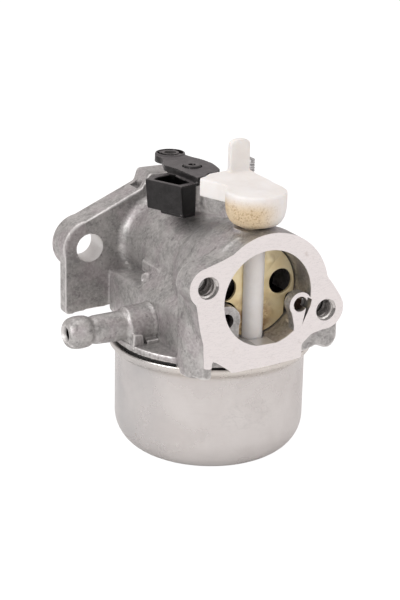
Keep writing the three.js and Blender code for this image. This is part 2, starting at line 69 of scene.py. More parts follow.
MIXTURE_AT = (12.3, -32)
BARB_AT = (BOWL_Y, -13.4)
ENGINE_HOLE_X = 23.7
COVER_HOLES = ((-17.8, 5.3), (18, -5.8))
COVER_HOLE_R = 3.05
LEFT_PASSAGE = (-8.9, -7.1)
RIGHT_PASSAGE = (10, -3.1)
PASSAGE_R = 2.1
SPARE_Y = FACE_Y - 2.15  # the casting is left this long, and then milled back to FACE_Y


def at(axis, across, up, along):
    """The point (x, y, z) for a distance along an axis and the two other coordinates."""
    return {"x": (along, across, up), "y": (across, along, up), "z": (across, up, along)}[axis]


def turned(bm, axis, centre, profile, sides=96, closed=False):
    """A turned shape from (radius, distance along the axis) pairs. Radius 0 is a tip on the axis."""
    rings = []
    for radius, along in profile:
        if radius == 0:
            rings.append([bm.verts.new(at(axis, *centre, along))])
            continue
        ring = []
        for i in range(sides):
            a = 2 * math.pi * i / sides
            spot = at(axis, centre[0] + radius * math.cos(a), centre[1] + radius * math.sin(a), along)
            ring.append(bm.verts.new(spot))
        rings.append(ring)
    pairs = list(zip(rings, rings[1:]))
    if closed:
        pairs.append((rings[-1], rings[0]))
    faces = []
    for one, two in pairs:
        for i in range(sides):
            j = (i + 1) % sides
            if len(one) == 1:
                faces.append(bm.faces.new((one[0], two[j], two[i])))
            elif len(two) == 1:
                faces.append(bm.faces.new((one[i], one[j], two[0])))
            else:
                faces.append(bm.faces.new((one[i], one[j], two[j], two[i])))
    bmesh.ops.recalc_face_normals(bm, faces=faces)


def bar(bm, axis, centre, start, end, radius, end_radius=None, sides=64):
    """A round bar or cone along an axis."""
    end_radius = radius if end_radius is None else end_radius
    turned(bm, axis, centre, [(0, start), (radius, start), (end_radius, end), (0, end)], sides)


def rounded(corners, steps=6):
    """The outline through (u, v) or (u, v, corner size) points, with its corners rounded."""
    line = []
    for i, corner in enumerate(corners):
        here = Vector(corner[:2])
        size = corner[2] if len(corner) > 2 else 0
        if size == 0:
            line.append(here)
            continue
        back = Vector(corners[i - 1][:2]) - here
        on = Vector(corners[(i + 1) % len(corners)][:2]) - here
        reach = min(size, back.length * 0.49, on.length * 0.49)
        start, end = here + back.normalized() * reach, here + on.normalized() * reach
        for k in range(steps + 1):
            t = k / steps
            line.append(start * (1 - t) ** 2 + here * 2 * t * (1 - t) + end * t * t)
    return line


def plate(bm, axis, corners, start, end):
    """A flat outline with thickness. It is drawn in x,y for "z", in x,z for "y" and in y,z for "x"."""
    line = rounded(corners)
    low = [bm.verts.new(at(axis, p.x, p.y, start)) for p in line]
    high = [bm.verts.new(at(axis, p.x, p.y, end)) for p in line]
    faces = [bm.faces.new(low), bm.faces.new(high)]
    for i in range(len(line)):
        j = (i + 1) % len(line)
        faces.append(bm.faces.new((low[i], low[j], high[j], high[i])))
    bmesh.ops.recalc_face_normals(bm, faces=faces)


def block(bm, low, high):
    """A box from its low corner to its high corner."""
    plate(bm, "z", [(low[0], low[1]), (high[0], low[1]), (high[0], high[1]), (low[0], high[1])], low[2],
        high[2])


def soft_plate(bm, axis, corners, start, end, radius):
    """A flat outline with thickness whose edges are all rounded."""
    own = bmesh.new()
    plate(own, axis, corners, start, end)
    bmesh.ops.bevel(own, geom=own.edges[:], offset=radius, segments=4, profile=0.5, affect="EDGES")
    held = bpy.data.meshes.new("held")
    own.to_mesh(held)
    own.free()
    bm.from_mesh(held)
    bpy.data.meshes.remove(held)


def solid(name, bm):
    """The shape in bm as an object, still in millimetres."""
    mesh = bpy.data.meshes.new(name)
    bm.to_mesh(mesh)
    bm.free()
    made = bpy.data.objects.new(name, mesh)
    bpy.context.scene.collection.objects.link(made)
    return made


def worked(made, kind, **settings):
    """The object after one modifier, with the result as its plain mesh."""
    step = made.modifiers.new(kind, kind)
    for name, value in settings.items():
        setattr(step, name, value)
    bpy.context.view_layer.update()
    seen = made.evaluated_get(bpy.context.evaluated_depsgraph_get())
    mesh = bpy.data.meshes.new_from_object(seen)
    made.modifiers.clear()
    made.data = mesh
    return made


def cut(made, bm, how="DIFFERENCE"):
    """Takes the shape in bm out of the object, or adds it with how="UNION"."""
    tool = solid("tool", bm)
    worked(made, "BOOLEAN", operation=how, object=tool, solver="MANIFOLD")
    bpy.data.objects.remove(tool)
    return made


def cast_soft(made, grain, passes):
    """Melts overlapping shapes into one skin with soft corners, as a die leaves them."""
    worked(made, "REMESH", mode="VOXEL", voxel_size=grain, adaptivity=0)
    worked(made, "SMOOTH", factor=0.5, iterations=passes)
    return made


def finish_piece(made, material, body, nodes, sharp=35):
    """Metres, smooth shading with crisp edges, the material, and the piece's place in the frame."""
    mesh = made.data
    mesh.transform(Matrix.Scale(MM, 4))
    mesh.materials.clear()
    mesh.materials.append(material)
    mesh.polygons.foreach_set("material_index", [0] * len(mesh.polygons))
    mesh.polygons.foreach_set("use_smooth", [True] * len(mesh.polygons))
    mesh.set_sharp_from_angle(angle=math.radians(sharp))
    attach(made, body)
    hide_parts(*nodes)
    return made


# The rough shape that the die leaves, a little too long at both flange faces.
shape = bmesh.new()
# engine flange: a thin sheet down to the lower left, and the thick lobes for the two studs
plate(shape, "y", [
    (-31.2, -19.2, 1.5), (-31.2, 1, 3), (-29.2, 5.8, 3), (-24.5, 8, 3), (-8, 14.4, 3), (-5.1, 19.4, 0.8),
    (5.1, 19.4, 0.8), (8, 14.4, 3), (24.5, 8, 3), (29.5, 5, 3), (31.4, 0, 3), (29.5, -5, 3), (24.5, -8, 3),
    (8, -16, 3), (-9, -16.2, 2), (-13, -17.8, 2), (-24, -18.3, 2),
], -8, -4)
for side in (-1, 1):
    bar(shape, "y", (side * ENGINE_HOLE_X, 0), -7.8, 3, 8)
    plate(shape, "y", [(side * 25.5, 7.6), (side * 5.1, 16.4), (0, 0), (side * 7, -15.8), (side * 26.5,
        -7.4)], -7.8, 3)
plate(shape, "y", [(-6.9, 14), (-5.1, 19.4, 0.8), (5.1, 19.4, 0.8), (6.9, 14)], -7.8, 3)
# throttle barrel, waist and choke horn
turned(shape, "y", (0, 0), [
    (0, -62), (17.5, -62), (17.3, -56), (16.9, -50), (15.6, -43.2), (13.2, -38.6), (13, -36), (13, -12),
    (13.3, -10.2), (14, -8.8), (15.2, -7.8), (15.2, 3), (0, 3),
])
# air-cleaner flange: the round horn mouth, an ear at each screw and the foot down to the bowl
bar(shape, "y", (0.9, 0.1), SPARE_Y, -58.85, 17.5)
for ear in COVER_HOLES:
    bar(shape, "y", ear, SPARE_Y, -58.85, 5.4)
plate(shape, "y", [
    (-21.2, 1.4), (-19.9, -6.2), (-18.9, -10), (-18.6, -16.7), (-16.4, -17.2), (-16.4, -14.6), (-11.4,
    -18.1),
    (-10.3, -19.2), (3.3, -18.8), (10.9, -18.2), (10.8, -13.6, 1), (13.5, -12), (17.2, -11.2), (22.6,
    -2.8), (19.4, 1.9, 2),
    (17.3, 4.4), (14, 9), (-9, 14), (-14, 12, 2), (-18.2, 10.8),
], SPARE_Y, -58.85)
# the wall behind the notch in the foot
plate(shape, "y", [(-16.8, -13), (-16.8, -17.6), (-9.5, -18.6), (-9.5, -13)], -64.6, -58)
# sloping shoulders down to the lid, and the core between them
soft_plate(shape, "x", [(-54, -18.9), (-54, -5.3), (-14, -6), (-10.4, -6.8), (-9.8, -18.9)], -19, -6, 1.5)
block(shape, (-17.5, -12, -17), (-6, -7, -8))
plate(shape, "y", [(-18.6, -18), (-18.4, -6.2), (-13.6, -0.8, 0.5), (-9, 3), (-5, 5), (-5, -18)], -54, -28)
plate(shape, "z", [(-17.5, -27.8), (-14, -25.3), (-12, -25.3), (-12, -28)], -9, -2.6)
plate(shape, "x", [(-21.5, -4), (-21.5, -0.6), (-31, -0.6), (-34, -3)], -14.2, -11.5)
plate(shape, "y", [(5, -18), (5, 4), (12.6, 0.5, 1), (16, -8, 1), (16, -18)], -60, -13)
block(shape, (-6, -60, -18), (6, -7.4, -4))
# front column with its lug in front of the bowl lip, and the lug under the right ear
column = [(-18.5, -66.4), (-20.2, -60, 1), (-20.3, -54.2, 1.2), (-16, -51)]
plate(shape, "z", column + [(-5, -51), (-5, -59.5), (-15.6, -60.5), (-15.6, -66.4)], -17, 5.4)
plate(shape, "z", [(-18.3, -66, 0.8), (-20.2, -60, 1), (-20.3, -54.2, 1.2), (-16, -51), (-15.4, -60),
    (-15.6, -66, 0.8)], -20.4, -16.5)
plate(shape, "z", [(-18.5, -62, 0.8), (-20.2, -60, 1), (-20.3, -54.2, 1.2), (-16, -51), (-15.4, -62)],
    -21.3, -19)
plate(shape, "y", [
    (9.5, -7), (24.6, -9, 1), (24.7, -16.4, 1.6), (22.7, -18.7, 1), (20.8, -18.5), (18.2, -17.4), (14.4,
    -18.6), (9.5, -18.2),
], -62.5, -56.5)
# the lid over the bowl
bar(shape, "z", (0, BOWL_Y), -19.4, LID_TOP_Z, 27.3, sides=128)
# shaft bosses above and below the bore, and the mixture screw boss
bar(shape, "z", (0, THROTTLE_Y), 6, 22, 3.8)
bar(shape, "z", (0, THROTTLE_Y), 9, 14, 6.4, 4.2)
bar(shape, "z", (0, THROTTLE_Y), -15.5, -8, 5)
bar(shape, "z", (0, CHOKE_Y), 10, 17.3, 5.6)
bar(shape, "z", MIXTURE_AT, -6, 17, 3.7)
casting = cast_soft(solid("carburetor_body_casting", shape), 0.42, 2)

# The fuel barb has finer detail, so its skin is made on its own and joined on.
barb = bmesh.new()
turned(barb, "x", BARB_AT, [
    (0, -43.9), (2.8, -43.9), (3.5, -43.5), (4.1, -42.6), (4.42, -41.2), (4.45, -39.6), (4.25, -38), (3.75,
    -37),
    (3.62, -36.6), (3.9, -35.6), (3.95, -34.5), (4.1, -28.2), (4.15, -27.1), (4.9, -26.7), (5.05, -26.4),
    (5.1, -22), (5.2, -19.9), (5.5, -19.5), (5.6, -18), (0, -18),
], 64)
# its web, and the small pad under it
plate(barb, "y", [(-26.8, -18.6), (-26.6, -14.2, 0.4), (-23.9, -14.6, 0.4), (-23.4, -18.6)], -42.2, -36)
plate(barb, "y", [(-24, -18.6), (-24, -16), (-18, -15.4), (-18, -18.6)], -39.6, -33)
plate(barb, "y", [(-22.6, -18.6), (-22.4, -16.7, 0.3), (-19, -16.5), (-18.8, -18.6)], -42, -38)
smooth_barb = cast_soft(solid("barb", barb), 0.28, 2)
worked(casting, "BOOLEAN", operation="UNION", object=smooth_barb, solver="MANIFOLD")
bpy.data.objects.remove(smooth_barb)

# Milled: both flange faces, the tops of the throttle and mixture bosses and the lid's underside.
faced = bmesh.new()
block(faced, (-40, -80, -40), (40, FACE_Y, 40))
block(faced, (-40, 0, -40), (40, 10, 40))
block(faced, (-8, THROTTLE_Y - 8, 21.2), (8, THROTTLE_Y + 8, 30))
block(faced, (8, -36, 16.5), (17, -28, 20))
bar(faced, "z", (0, BOWL_Y), -23, -19.35, 27.5, sides=128)
# room for the bowl's lip behind the front column
turned(faced, "z", (0, BOWL_Y), [(27.4, -23), (28.9, -23), (28.9, -19.9), (27.4, -19.9)], 128, closed=True)
# the small notch beside the raised block on the engine flange
block(faced, (-8.2, -6.4, 14.9), (-6.2, -1.6, 17.2))
cut(casting, faced)

# Cast in one with it but hidden in the bowl: the jet column and the float hinge ears.
hidden = bmesh.new()
bar(hidden, "z", (0, BOWL_Y), -41, -18.5, 4.8)
cut(casting, hidden, "UNION")
for low, high in ((-5.8, -3.6), (3.6, 5.8)):
    ear = bmesh.new()
    block(ear, (-23.7, BOWL_Y + low, -27), (-19.5, BOWL_Y + high, -18.6))
    cut(casting, ear, "UNION")

# The main bore: choke end, venturi and throttle end.
bore = bmesh.new()
straight = [(13.08, y) for y in range(-70, -49, 2)]
turned(bore, "y", (0, 0), [(0, -70), *straight, (12.6, -48.4), (11.6, -46.5), (10.2, -44.4), (9.2, -42.6),
    (8.5, -41), (8.2, -39.6), (8.2, -36.8), (8.7, -33.6), (9.2, -31.8), (9.6, -30.4), (9.6, 2), (0, 2),
], 128)
cut(casting, bore)

# The two passage bosses left standing in the choke end, with their webs.
standing = bmesh.new()
bar(standing, "y", LEFT_PASSAGE, -60.9, -46, 4.3)
plate(standing, "y", [(-13, -7.1), (-4.9, -8.2, 0.8), (-5.1, -12.8), (-13, -12.8)], -60.9, -46)
bar(standing, "y", RIGHT_PASSAGE, SPARE_Y, -63.65, 3.3)
plate(standing, "y", [(7.4, -5), (12, -5.4), (11.2, -8.8), (12.6, -14), (8, -14), (8.3, -9)], SPARE_Y,
    -63.65)
bar(standing, "y", (13.7, -6.2), -64.2, -46, 3.3)
bosses = cast_soft(solid("bosses", standing), 0.3, 3)
trim = bmesh.new()
turned(trim, "y", (0, 0), [(13.5, -75), (30, -75), (30, -40), (13.5, -40)], 128, closed=True)
cut(bosses, trim)
trim = bmesh.new()
block(trim, (-20, -80, -20), (20, FACE_Y, 20))
cut(bosses, trim)
worked(casting, "BOOLEAN", operation="UNION", object=bosses, solver="MANIFOLD")
bpy.data.objects.remove(bosses)

# The low point of the bore is filled flat, and a gap is left between the right boss and the wall.
low_floor = bmesh.new()
block(low_floor, (-2.85, FACE_Y + 0.01, -13.7), (2.85, -62, -12.75))
cut(casting, low_floor, "UNION")
wedge = bmesh.new()
plate(wedge, "y", [(12.1, -1.4), (13.5, -2.2), (13.1, -4), (10.7, -9), (11.6, -5)], -69, -63.8)
cut(casting, wedge)

# Drilled: screw holes, passages, shaft bearings, the fuel way and the valve seats.
for axis, centre, start, end, radius in (
    ("y", COVER_HOLES[0], -70, -55.85, COVER_HOLE_R),
    ("y", COVER_HOLES[1], -70, -55.85, COVER_HOLE_R),
    ("y", LEFT_PASSAGE, -61.5, -50, PASSAGE_R),
    ("y", RIGHT_PASSAGE, -70, -50, PASSAGE_R),
    ("y", (-ENGINE_HOLE_X, 0), -10, 2, 4.05),
    ("y", (ENGINE_HOLE_X, 0), -10, 2, 4.05),
    ("z", (0, CHOKE_Y), -15.5, 20, 3.5),
    ("z", (0, THROTTLE_Y), -13.2, 24, 2.9),
    ("z", MIXTURE_AT, 1, 20, 1.9),
    ("x", BARB_AT, -45, -13.5, 1.6),
    ("z", (-14.5, BOWL_Y), -20, -14.6, 2.9),
    ("z", (-14.5, BOWL_Y), -15, -12.5, 1.1),
    ("z", (0, BOWL_Y), -46, -5, 2.7),
    ("z", (10.5, -44), -24, -12.8, 1.8),
    ("y", (-21.5, -25), BOWL_Y - 8, BOWL_Y + 8, 1.1),
):
    drill = bmesh.new()
    bar(drill, axis, centre, start, end, radius)
    cut(casting, drill)
# the mouth of the barb is opened to a cone
mouth = bmesh.new()
bar(mouth, "x", BARB_AT, -44.2, -42.8, 2.6, 1.5)
cut(casting, mouth)


def socket_of(tree, sockets, name, kind, start=0.0, way="INPUT"):
    """A named input or output of a node group."""
    made = tree.interface.new_socket(name=name, in_out=way, socket_type="NodeSocket" + kind)
    if way == "INPUT":
        made.default_value = start
    sockets.append(made)


def node(tree, kind, inputs=None, **settings):
    """A node with its settings, and its inputs as values or as links from other nodes."""
    made = tree.nodes.new(kind)
    for name, value in settings.items():
        setattr(made, name, value)
    for key, value in (inputs or {}).items():
        if isinstance(value, bpy.types.NodeSocket):
            tree.links.new(value, made.inputs[key])
        else:
            made.inputs[key].default_value = value
    return made


def mixed(tree, mask, one, two):
    """Colour one where the mask is 0 and colour two where it is 1."""
    made = node(tree, "ShaderNodeMix", {0: mask, 6: one, 7: two}, data_type="RGBA")
    return made.outputs[2]


def between(tree, value, low, high, to_low=0.0, to_high=1.0, soft=True):
    """The value from low to high as a number from to_low to to_high."""
    kind = "SMOOTHSTEP" if soft else "LINEAR"
    return node(
        tree, "ShaderNodeMapRange", {0: value, 1: low, 2: high, 3: to_low, 4: to_high},
        interpolation_type=kind
    ).outputs[0]


def maths(tree, how, one, two=0.0):
    """A sum, product, comparison or other piece of arithmetic."""
    return node(tree, "ShaderNodeMath", {0: one, 1: two}, operation=how).outputs[0]


def shader_group(name, inputs, outputs):
    """An empty shader node group: inputs are {name: starting value}, outputs are {name: kind}."""
    tree = bpy.data.node_groups.new(name, "ShaderNodeTree")
    sockets = []
    socket_of(tree, sockets, "Place", "Vector", (0, 0, 0))
    for title, start in inputs.items():
        socket_of(tree, sockets, title, "Float", start)
    for title, kind in outputs.items():
        socket_of(tree, sockets, title, kind, way="OUTPUT")
    return tree, tree.nodes.new("NodeGroupInput").outputs, tree.nodes.new("NodeGroupOutput").inputs


# Shared effect: blotches of tone, fine grain and small pits, as on cast and rolled metal.
mottle, given, result = shader_group(
    "metal_mottle",
    {"Blotch Size": 200.0, "Grain Size": 1500.0, "Pit Size": 700.0, "Pit Share": 0.1},
    {"Tone": "Float", "Grain": "Float", "Pits": "Float", "Height": "Float"},
)
blotches = node(mottle, "ShaderNodeTexNoise", {"Vector": given["Place"], "Scale": given["Blotch Size"],
    "Detail": 5.0, "Roughness": 0.62})
grain = node(mottle, "ShaderNodeTexNoise", {"Vector": given["Place"], "Scale": given["Grain Size"],
    "Detail": 3.0, "Roughness": 0.6})
pit_cells = node(mottle, "ShaderNodeTexVoronoi", {"Vector": given["Place"], "Scale": given["Pit Size"]})
pit_patches = node(mottle, "ShaderNodeTexNoise", {"Vector": given["Place"], "Scale": 90.0, "Detail": 2.0})
pit_reach = maths(mottle, "MULTIPLY", given["Pit Share"], between(mottle, pit_patches.outputs[0], 0.35,
    0.7, 0.3, 2.6))
pits = maths(mottle, "LESS_THAN", pit_cells.outputs["Distance"], pit_reach)
tone = between(mottle, blotches.outputs[0], 0.3, 0.7)
mottle.links.new(tone, result["Tone"])
mottle.links.new(grain.outputs[0], result["Grain"])
mottle.links.new(pits, result["Pits"])
height = maths(mottle, "ADD", maths(mottle, "MULTIPLY", blotches.outputs[0], 0.5), maths(mottle,
    "MULTIPLY", grain.outputs[0], 0.5))
height = maths(mottle, "SUBTRACT", height, maths(mottle, "MULTIPLY", pits, 0.35))
mottle.links.new(height, result["Height"])

# Shared effect: thin scratches that run along one way, set by the stretch of the place.
scratches, given, result = shader_group(
    "fine_scratches",
    {"Size": 400.0, "Share": 0.5},
    {"Lines": "Float", "Height": "Float"},
)
drawn = node(scratches, "ShaderNodeTexNoise", {"Vector": given["Place"], "Scale": given["Size"],
    "Detail": 4.0, "Roughness": 0.7})
ridge = maths(scratches, "ABSOLUTE", maths(scratches, "SUBTRACT", drawn.outputs[0], 0.5))
width = maths(scratches, "MULTIPLY", given["Share"], 0.02)
lines = maths(scratches, "LESS_THAN", ridge, width)
scratches.links.new(lines, result["Lines"])
scratches.links.new(drawn.outputs[0], result["Height"])


def new_material(name):
    """A material with its Principled shader, ready for nodes."""
    material = bpy.data.materials.new(name)
    material.use_nodes = True
    tree = material.node_tree
    tree.nodes.clear()
    shader = tree.nodes.new("ShaderNodeBsdfPrincipled")
    out = tree.nodes.new("ShaderNodeOutputMaterial")
    tree.links.new(shader.outputs[0], out.inputs[0])
    place = tree.nodes.new("ShaderNodeTexCoord").outputs["Object"]
    return material, tree, shader, place


def stretched(tree, place, scale, turn=(0, 0, 0)):
    """The place turned and stretched, for marks that run one way."""
    return node(tree, "ShaderNodeMapping", {"Vector": place, "Scale": scale, "Rotation": turn}).outputs[0]


def effect(tree, group, place, **values):
    """A shared effect set into a material with its own values."""
    made = node(tree, "ShaderNodeGroup", {}, node_tree=group)
    tree.links.new(place, made.inputs["Place"])
    for name, value in values.items():
        made.inputs[name.replace("_", " ")].default_value = value
    return made.outputs


def bumped(tree, shader, height, distance, strength=1.0):
    """Raises the surface by a height from 0 to 1 times a distance in metres."""
    made = node(tree, "ShaderNodeBump", {"Height": height, "Distance": distance, "Strength": strength})
    tree.links.new(made.outputs[0], shader.inputs["Normal"])


# As-cast grey skin with warm and cold blotches and pits, a painted highlight along its sharp edges and
# painted shade in its creases. The milled faces are bright.
cast_skin, tree, shader, place = new_material("cast_alloy_skin")
skin = effect(tree, mottle, place, Blotch_Size=230.0, Grain_Size=1300.0, Pit_Size=520.0, Pit_Share=0.07)
warm = node(tree, "ShaderNodeTexNoise", {"Vector": place, "Scale": 150.0, "Detail": 4.0})
grey = mixed(tree, skin["Tone"], (0.28, 0.275, 0.27, 1), (0.54, 0.53, 0.52, 1))
grey = mixed(tree, between(tree, warm.outputs[0], 0.45, 0.62, 0, 0.6), grey, (0.43, 0.385, 0.40, 1))
grain_mask = between(tree, skin["Grain"], 0.4, 0.66, 0, 0.5)
grey = mixed(tree, grain_mask, grey, (0.66, 0.65, 0.64, 1))
flecks = node(tree, "ShaderNodeTexNoise", {"Vector": place, "Scale": 620.0, "Detail": 5.0,
    "Roughness": 0.65}).outputs[0]
grey = mixed(tree, between(tree, flecks, 0.42, 0.34, 0, 0.55), grey, (0.19, 0.175, 0.18, 1))
grey = mixed(tree, maths(tree, "MULTIPLY", skin["Pits"], 0.35), grey, (0.16, 0.15, 0.155, 1))
# painted highlight along the sharp edges and painted shade in the creases, from the pointiness
edge = node(tree, "ShaderNodeNewGeometry").outputs["Pointiness"]
grey = mixed(tree, between(tree, edge, 0.512, 0.55, 0, 0.9), grey, (0.78, 0.77, 0.76, 1))
grey = mixed(tree, between(tree, edge, 0.49, 0.45, 0, 0.5), grey, (0.16, 0.155, 0.155, 1))
along = node(tree, "ShaderNodeSeparateXYZ", {0: place}).outputs
milled = maths(tree, "MAXIMUM", maths(tree, "LESS_THAN", along["Y"], -0.06675), maths(tree, "GREATER_THAN",
    along["Y"], -0.0001))
tool_marks = effect(tree, scratches, stretched(tree, place, (1, 1, 6), (0, 0.5, 0)), Size=260.0, Share=0.6)
smudge = node(tree, "ShaderNodeTexNoise", {"Vector": place, "Scale": 190.0, "Detail": 6.0,
    "Roughness": 0.7})
bright = mixed(tree, between(tree, smudge.outputs[0], 0.6, 0.78, 0, 0.55), (0.88, 0.84, 0.835, 1), (0.5,
    0.42, 0.38, 1))
bright = mixed(tree, maths(tree, "MULTIPLY", tool_marks["Lines"], 0.35), bright, (0.55, 0.53, 0.53, 1))
skin_colour = mixed(tree, milled, grey, bright)
# painted shade: deep in the bore, past the choke plate, the skin is painted near black, ramping in with
# depth
across = node(tree, "ShaderNodeVectorMath", {0: place, 1: (1, 0, 1)}, operation="MULTIPLY").outputs[0]
from_axis = node(tree, "ShaderNodeVectorMath", {0: across}, operation="LENGTH").outputs["Value"]
bore_depth_shade = maths(tree, "MULTIPLY", maths(tree, "LESS_THAN", from_axis, 0.0126), between(tree, along["Y"],
    -0.0575, -0.0525, 0, 0.94))
bore_depth_shade = maths(tree, "MULTIPLY", bore_depth_shade, maths(tree, "LESS_THAN", along["Y"], -0.0001))
skin_colour = mixed(tree, bore_depth_shade, skin_colour, (0.012, 0.011, 0.01, 1))
# Painted shade: no light reaches down the drilled holes, so they are painted darker with depth, and old
# fuel has stained them brown.
for keep, centre, reach, deep, lit, dark, end, stain in (
    ((1, 0, 1), (-0.0178, 0, 0.0053), 0.0032, "Y", -0.0655, -0.0605, -0.0589, (0.03, 0.026, 0.026, 1)),
    ((1, 0, 1), (0.018, 0, -0.0058), 0.0032, "Y", -0.0655, -0.0605, -0.0589, (0.03, 0.026, 0.026, 1)),
    ((1, 0, 1), (0.010, 0, -0.0031), 0.0022, "Y", -0.0668, -0.0645, -0.0499, (0.05, 0.028, 0.03, 1)),
    ((1, 0, 1), (-0.0089, 0, -0.0071), 0.0022, "Y", -0.0608, -0.0575, -0.0499, (0.05, 0.028, 0.03, 1)),
    ((0, 1, 1), (0, -0.036, -0.0134), 0.0024, "X", -0.0438, -0.0425, -0.0134, (0.012, 0.01, 0.01, 1)),
):
    flat = node(tree, "ShaderNodeVectorMath", {0: place, 1: keep}, operation="MULTIPLY").outputs[0]
    away = node(tree, "ShaderNodeVectorMath", {0: flat, 1: centre}, operation="DISTANCE").outputs["Value"]
    inside_hole = maths(tree, "MULTIPLY", maths(tree, "LESS_THAN", away, reach), between(tree, along[deep],
        lit, dark))
    inside_hole = maths(tree, "MULTIPLY", inside_hole, maths(tree, "LESS_THAN", along[deep], end))
    skin_colour = mixed(tree, inside_hole, skin_colour, stain)
tree.links.new(skin_colour, shader.inputs["Base Color"])
rough = between(tree, skin["Tone"], 0, 1, 0.5, 0.36, soft=False)
tree.links.new(maths(tree, "SUBTRACT", rough, maths(tree, "MULTIPLY", milled, 0.02)),
    shader.inputs["Roughness"])
tree.links.new(between(tree, milled, 0, 1, 0.8, 0.35, soft=False), shader.inputs["Metallic"])
raised = maths(tree, "MULTIPLY", skin["Height"], between(tree, milled, 0, 1, 1, 0.12, soft=False))
bumped(tree, shader, raised, 0.00022, 0.8)
finish_piece(casting, cast_skin, "casting", ["carburetor_body"], sharp=32)

# The two cover screw holes are tapped: a thread crest winds down each wall.
# It is a spiral with a pointed section that follows the hole, so Geometry Nodes wind it.
def spiral_tree(name, points_per_turn=40):
    """Geometry Nodes that wind a section along a spiral up the Z axis, in millimetres."""
    made = bpy.data.node_groups.new(name, "GeometryNodeTree")
    made.interface.new_socket(name="Geometry", in_out="OUTPUT", socket_type="NodeSocketGeometry")
    asked = {}
    for title, start in (("Radius", 2.0), ("Turns", 4.0), ("Height", 4.0), ("Section", 0.3)):
        asked[title] = made.interface.new_socket(name=title, in_out="INPUT", socket_type="NodeSocketFloat")
        asked[title].default_value = start
    asked["Sides"] = made.interface.new_socket(name="Sides", in_out="INPUT", socket_type="NodeSocketInt")
    asked["Sides"].default_value = 10
    asked["Material"] = made.interface.new_socket(name="Material", in_out="INPUT",
        socket_type="NodeSocketMaterial")
    given = made.nodes.new("NodeGroupInput").outputs
    wound = node(made, "GeometryNodeCurveSpiral", {
        "Resolution": points_per_turn, "Rotations": given["Turns"], "Start Radius": given["Radius"],
        "End Radius": given["Radius"], "Height": given["Height"],
    })
    section = node(made, "GeometryNodeCurvePrimitiveCircle", {"Resolution": given["Sides"],
        "Radius": given["Section"]})
    swept = node(made, "GeometryNodeCurveToMesh", {
        "Curve": wound.outputs[0], "Profile Curve": section.outputs[0], "Fill Caps": True,
    })
    real = node(made, "GeometryNodeRealizeInstances", {0: swept.outputs[0]})
    done = node(made, "GeometryNodeSetMaterial", {"Geometry": real.outputs[0],
        "Material": given["Material"]})
    out = made.nodes.new("NodeGroupOutput")
    made.links.new(done.outputs[0], out.inputs[0])
    return made, asked


def wound(name, tree_and_inputs, material, values, turn, shift):
    """One spiral as an object with a plain mesh, turned and moved to its place."""
    grown, asked = tree_and_inputs
    made = bpy.data.objects.new(name, bpy.data.meshes.new(name))
    bpy.context.scene.collection.objects.link(made)
    step = made.modifiers.new("spiral", "NODES")
    step.node_group = grown
    for title, value in {**values, "Material": material}.items():
        step[asked[title].identifier] = value
    bpy.context.view_layer.update()
    seen = made.evaluated_get(bpy.context.evaluated_depsgraph_get())
    mesh = bpy.data.meshes.new_from_object(seen)
    made.modifiers.clear()
    made.data = mesh
    mesh.transform(Matrix.Translation(shift) @ turn)
    return made


def joined(name, parts):
    """Several objects as one."""
    bm = bmesh.new()
    for part in parts:
        bm.from_mesh(part.data)
        bpy.data.objects.remove(part)
    return solid(name, bm)


spiral = spiral_tree("wound_spiral")
thread_metal, tree, shader, place = new_material("tapped_thread_metal")
worn = effect(tree, mottle, place, Blotch_Size=900.0, Grain_Size=3000.0, Pit_Size=1500.0, Pit_Share=0.1)
crest_colour = mixed(tree, worn["Tone"], (0.5, 0.48, 0.47, 1), (0.78, 0.76, 0.74, 1))
# painted shade: the thread is painted darker towards the bottom of its hole
hole_depth_shade = between(tree, node(tree, "ShaderNodeSeparateXYZ", {0: place}).outputs["Y"], -0.0645, -0.0595, 0,
    0.85)
tree.links.new(mixed(tree, hole_depth_shade, crest_colour, (0.06, 0.055, 0.055, 1)), shader.inputs["Base Color"])
tree.links.new(between(tree, worn["Grain"], 0.3, 0.7, 0.25, 0.5), shader.inputs["Roughness"])
shader.inputs["Metallic"].default_value = 0.9
bumped(tree, shader, worn["Height"], 0.00005)
facing_back = Matrix.Rotation(math.radians(-90), 4, "X")
crests = [
    wound("thread", spiral, thread_metal, {"Radius": 3.1, "Turns": 5.3, "Height": 6.75, "Section": 0.52,
    "Sides": 4},
          facing_back, Vector((x, FACE_Y + 0.7, z)))
    for x, z in COVER_HOLES
]
threads = joined("cover_screw_threads", crests)
finish_piece(threads, thread_metal, "casting", [], sharp=25)

# ---------------------------------------------------------------- jets, needle valve and float
# Inside the bowl: turned brass jets and seat, a steel needle and hinge pin, and a moulded black float.
# They keep their CAD shapes, and only their finishes are made here.
brass, tree, shader, place = new_material("turned_brass")
rings = effect(tree, scratches, stretched(tree, place, (1, 1, 30)), Size=60.0, Share=0.8)
tarnish = effect(tree, mottle, place, Blotch_Size=300.0, Grain_Size=2500.0, Pit_Size=900.0, Pit_Share=0.05)
yellow = mixed(tree, tarnish["Tone"], (0.62, 0.44, 0.20, 1), (0.78, 0.62, 0.34, 1))
yellow = mixed(tree, maths(tree, "MULTIPLY", rings["Lines"], 0.4), yellow, (0.4, 0.28, 0.13, 1))
tree.links.new(yellow, shader.inputs["Base Color"])
tree.links.new(between(tree, tarnish["Tone"], 0, 1, 0.42, 0.28), shader.inputs["Roughness"])
shader.inputs["Metallic"].default_value = 1
bumped(tree, shader, rings["Height"], 0.00004)

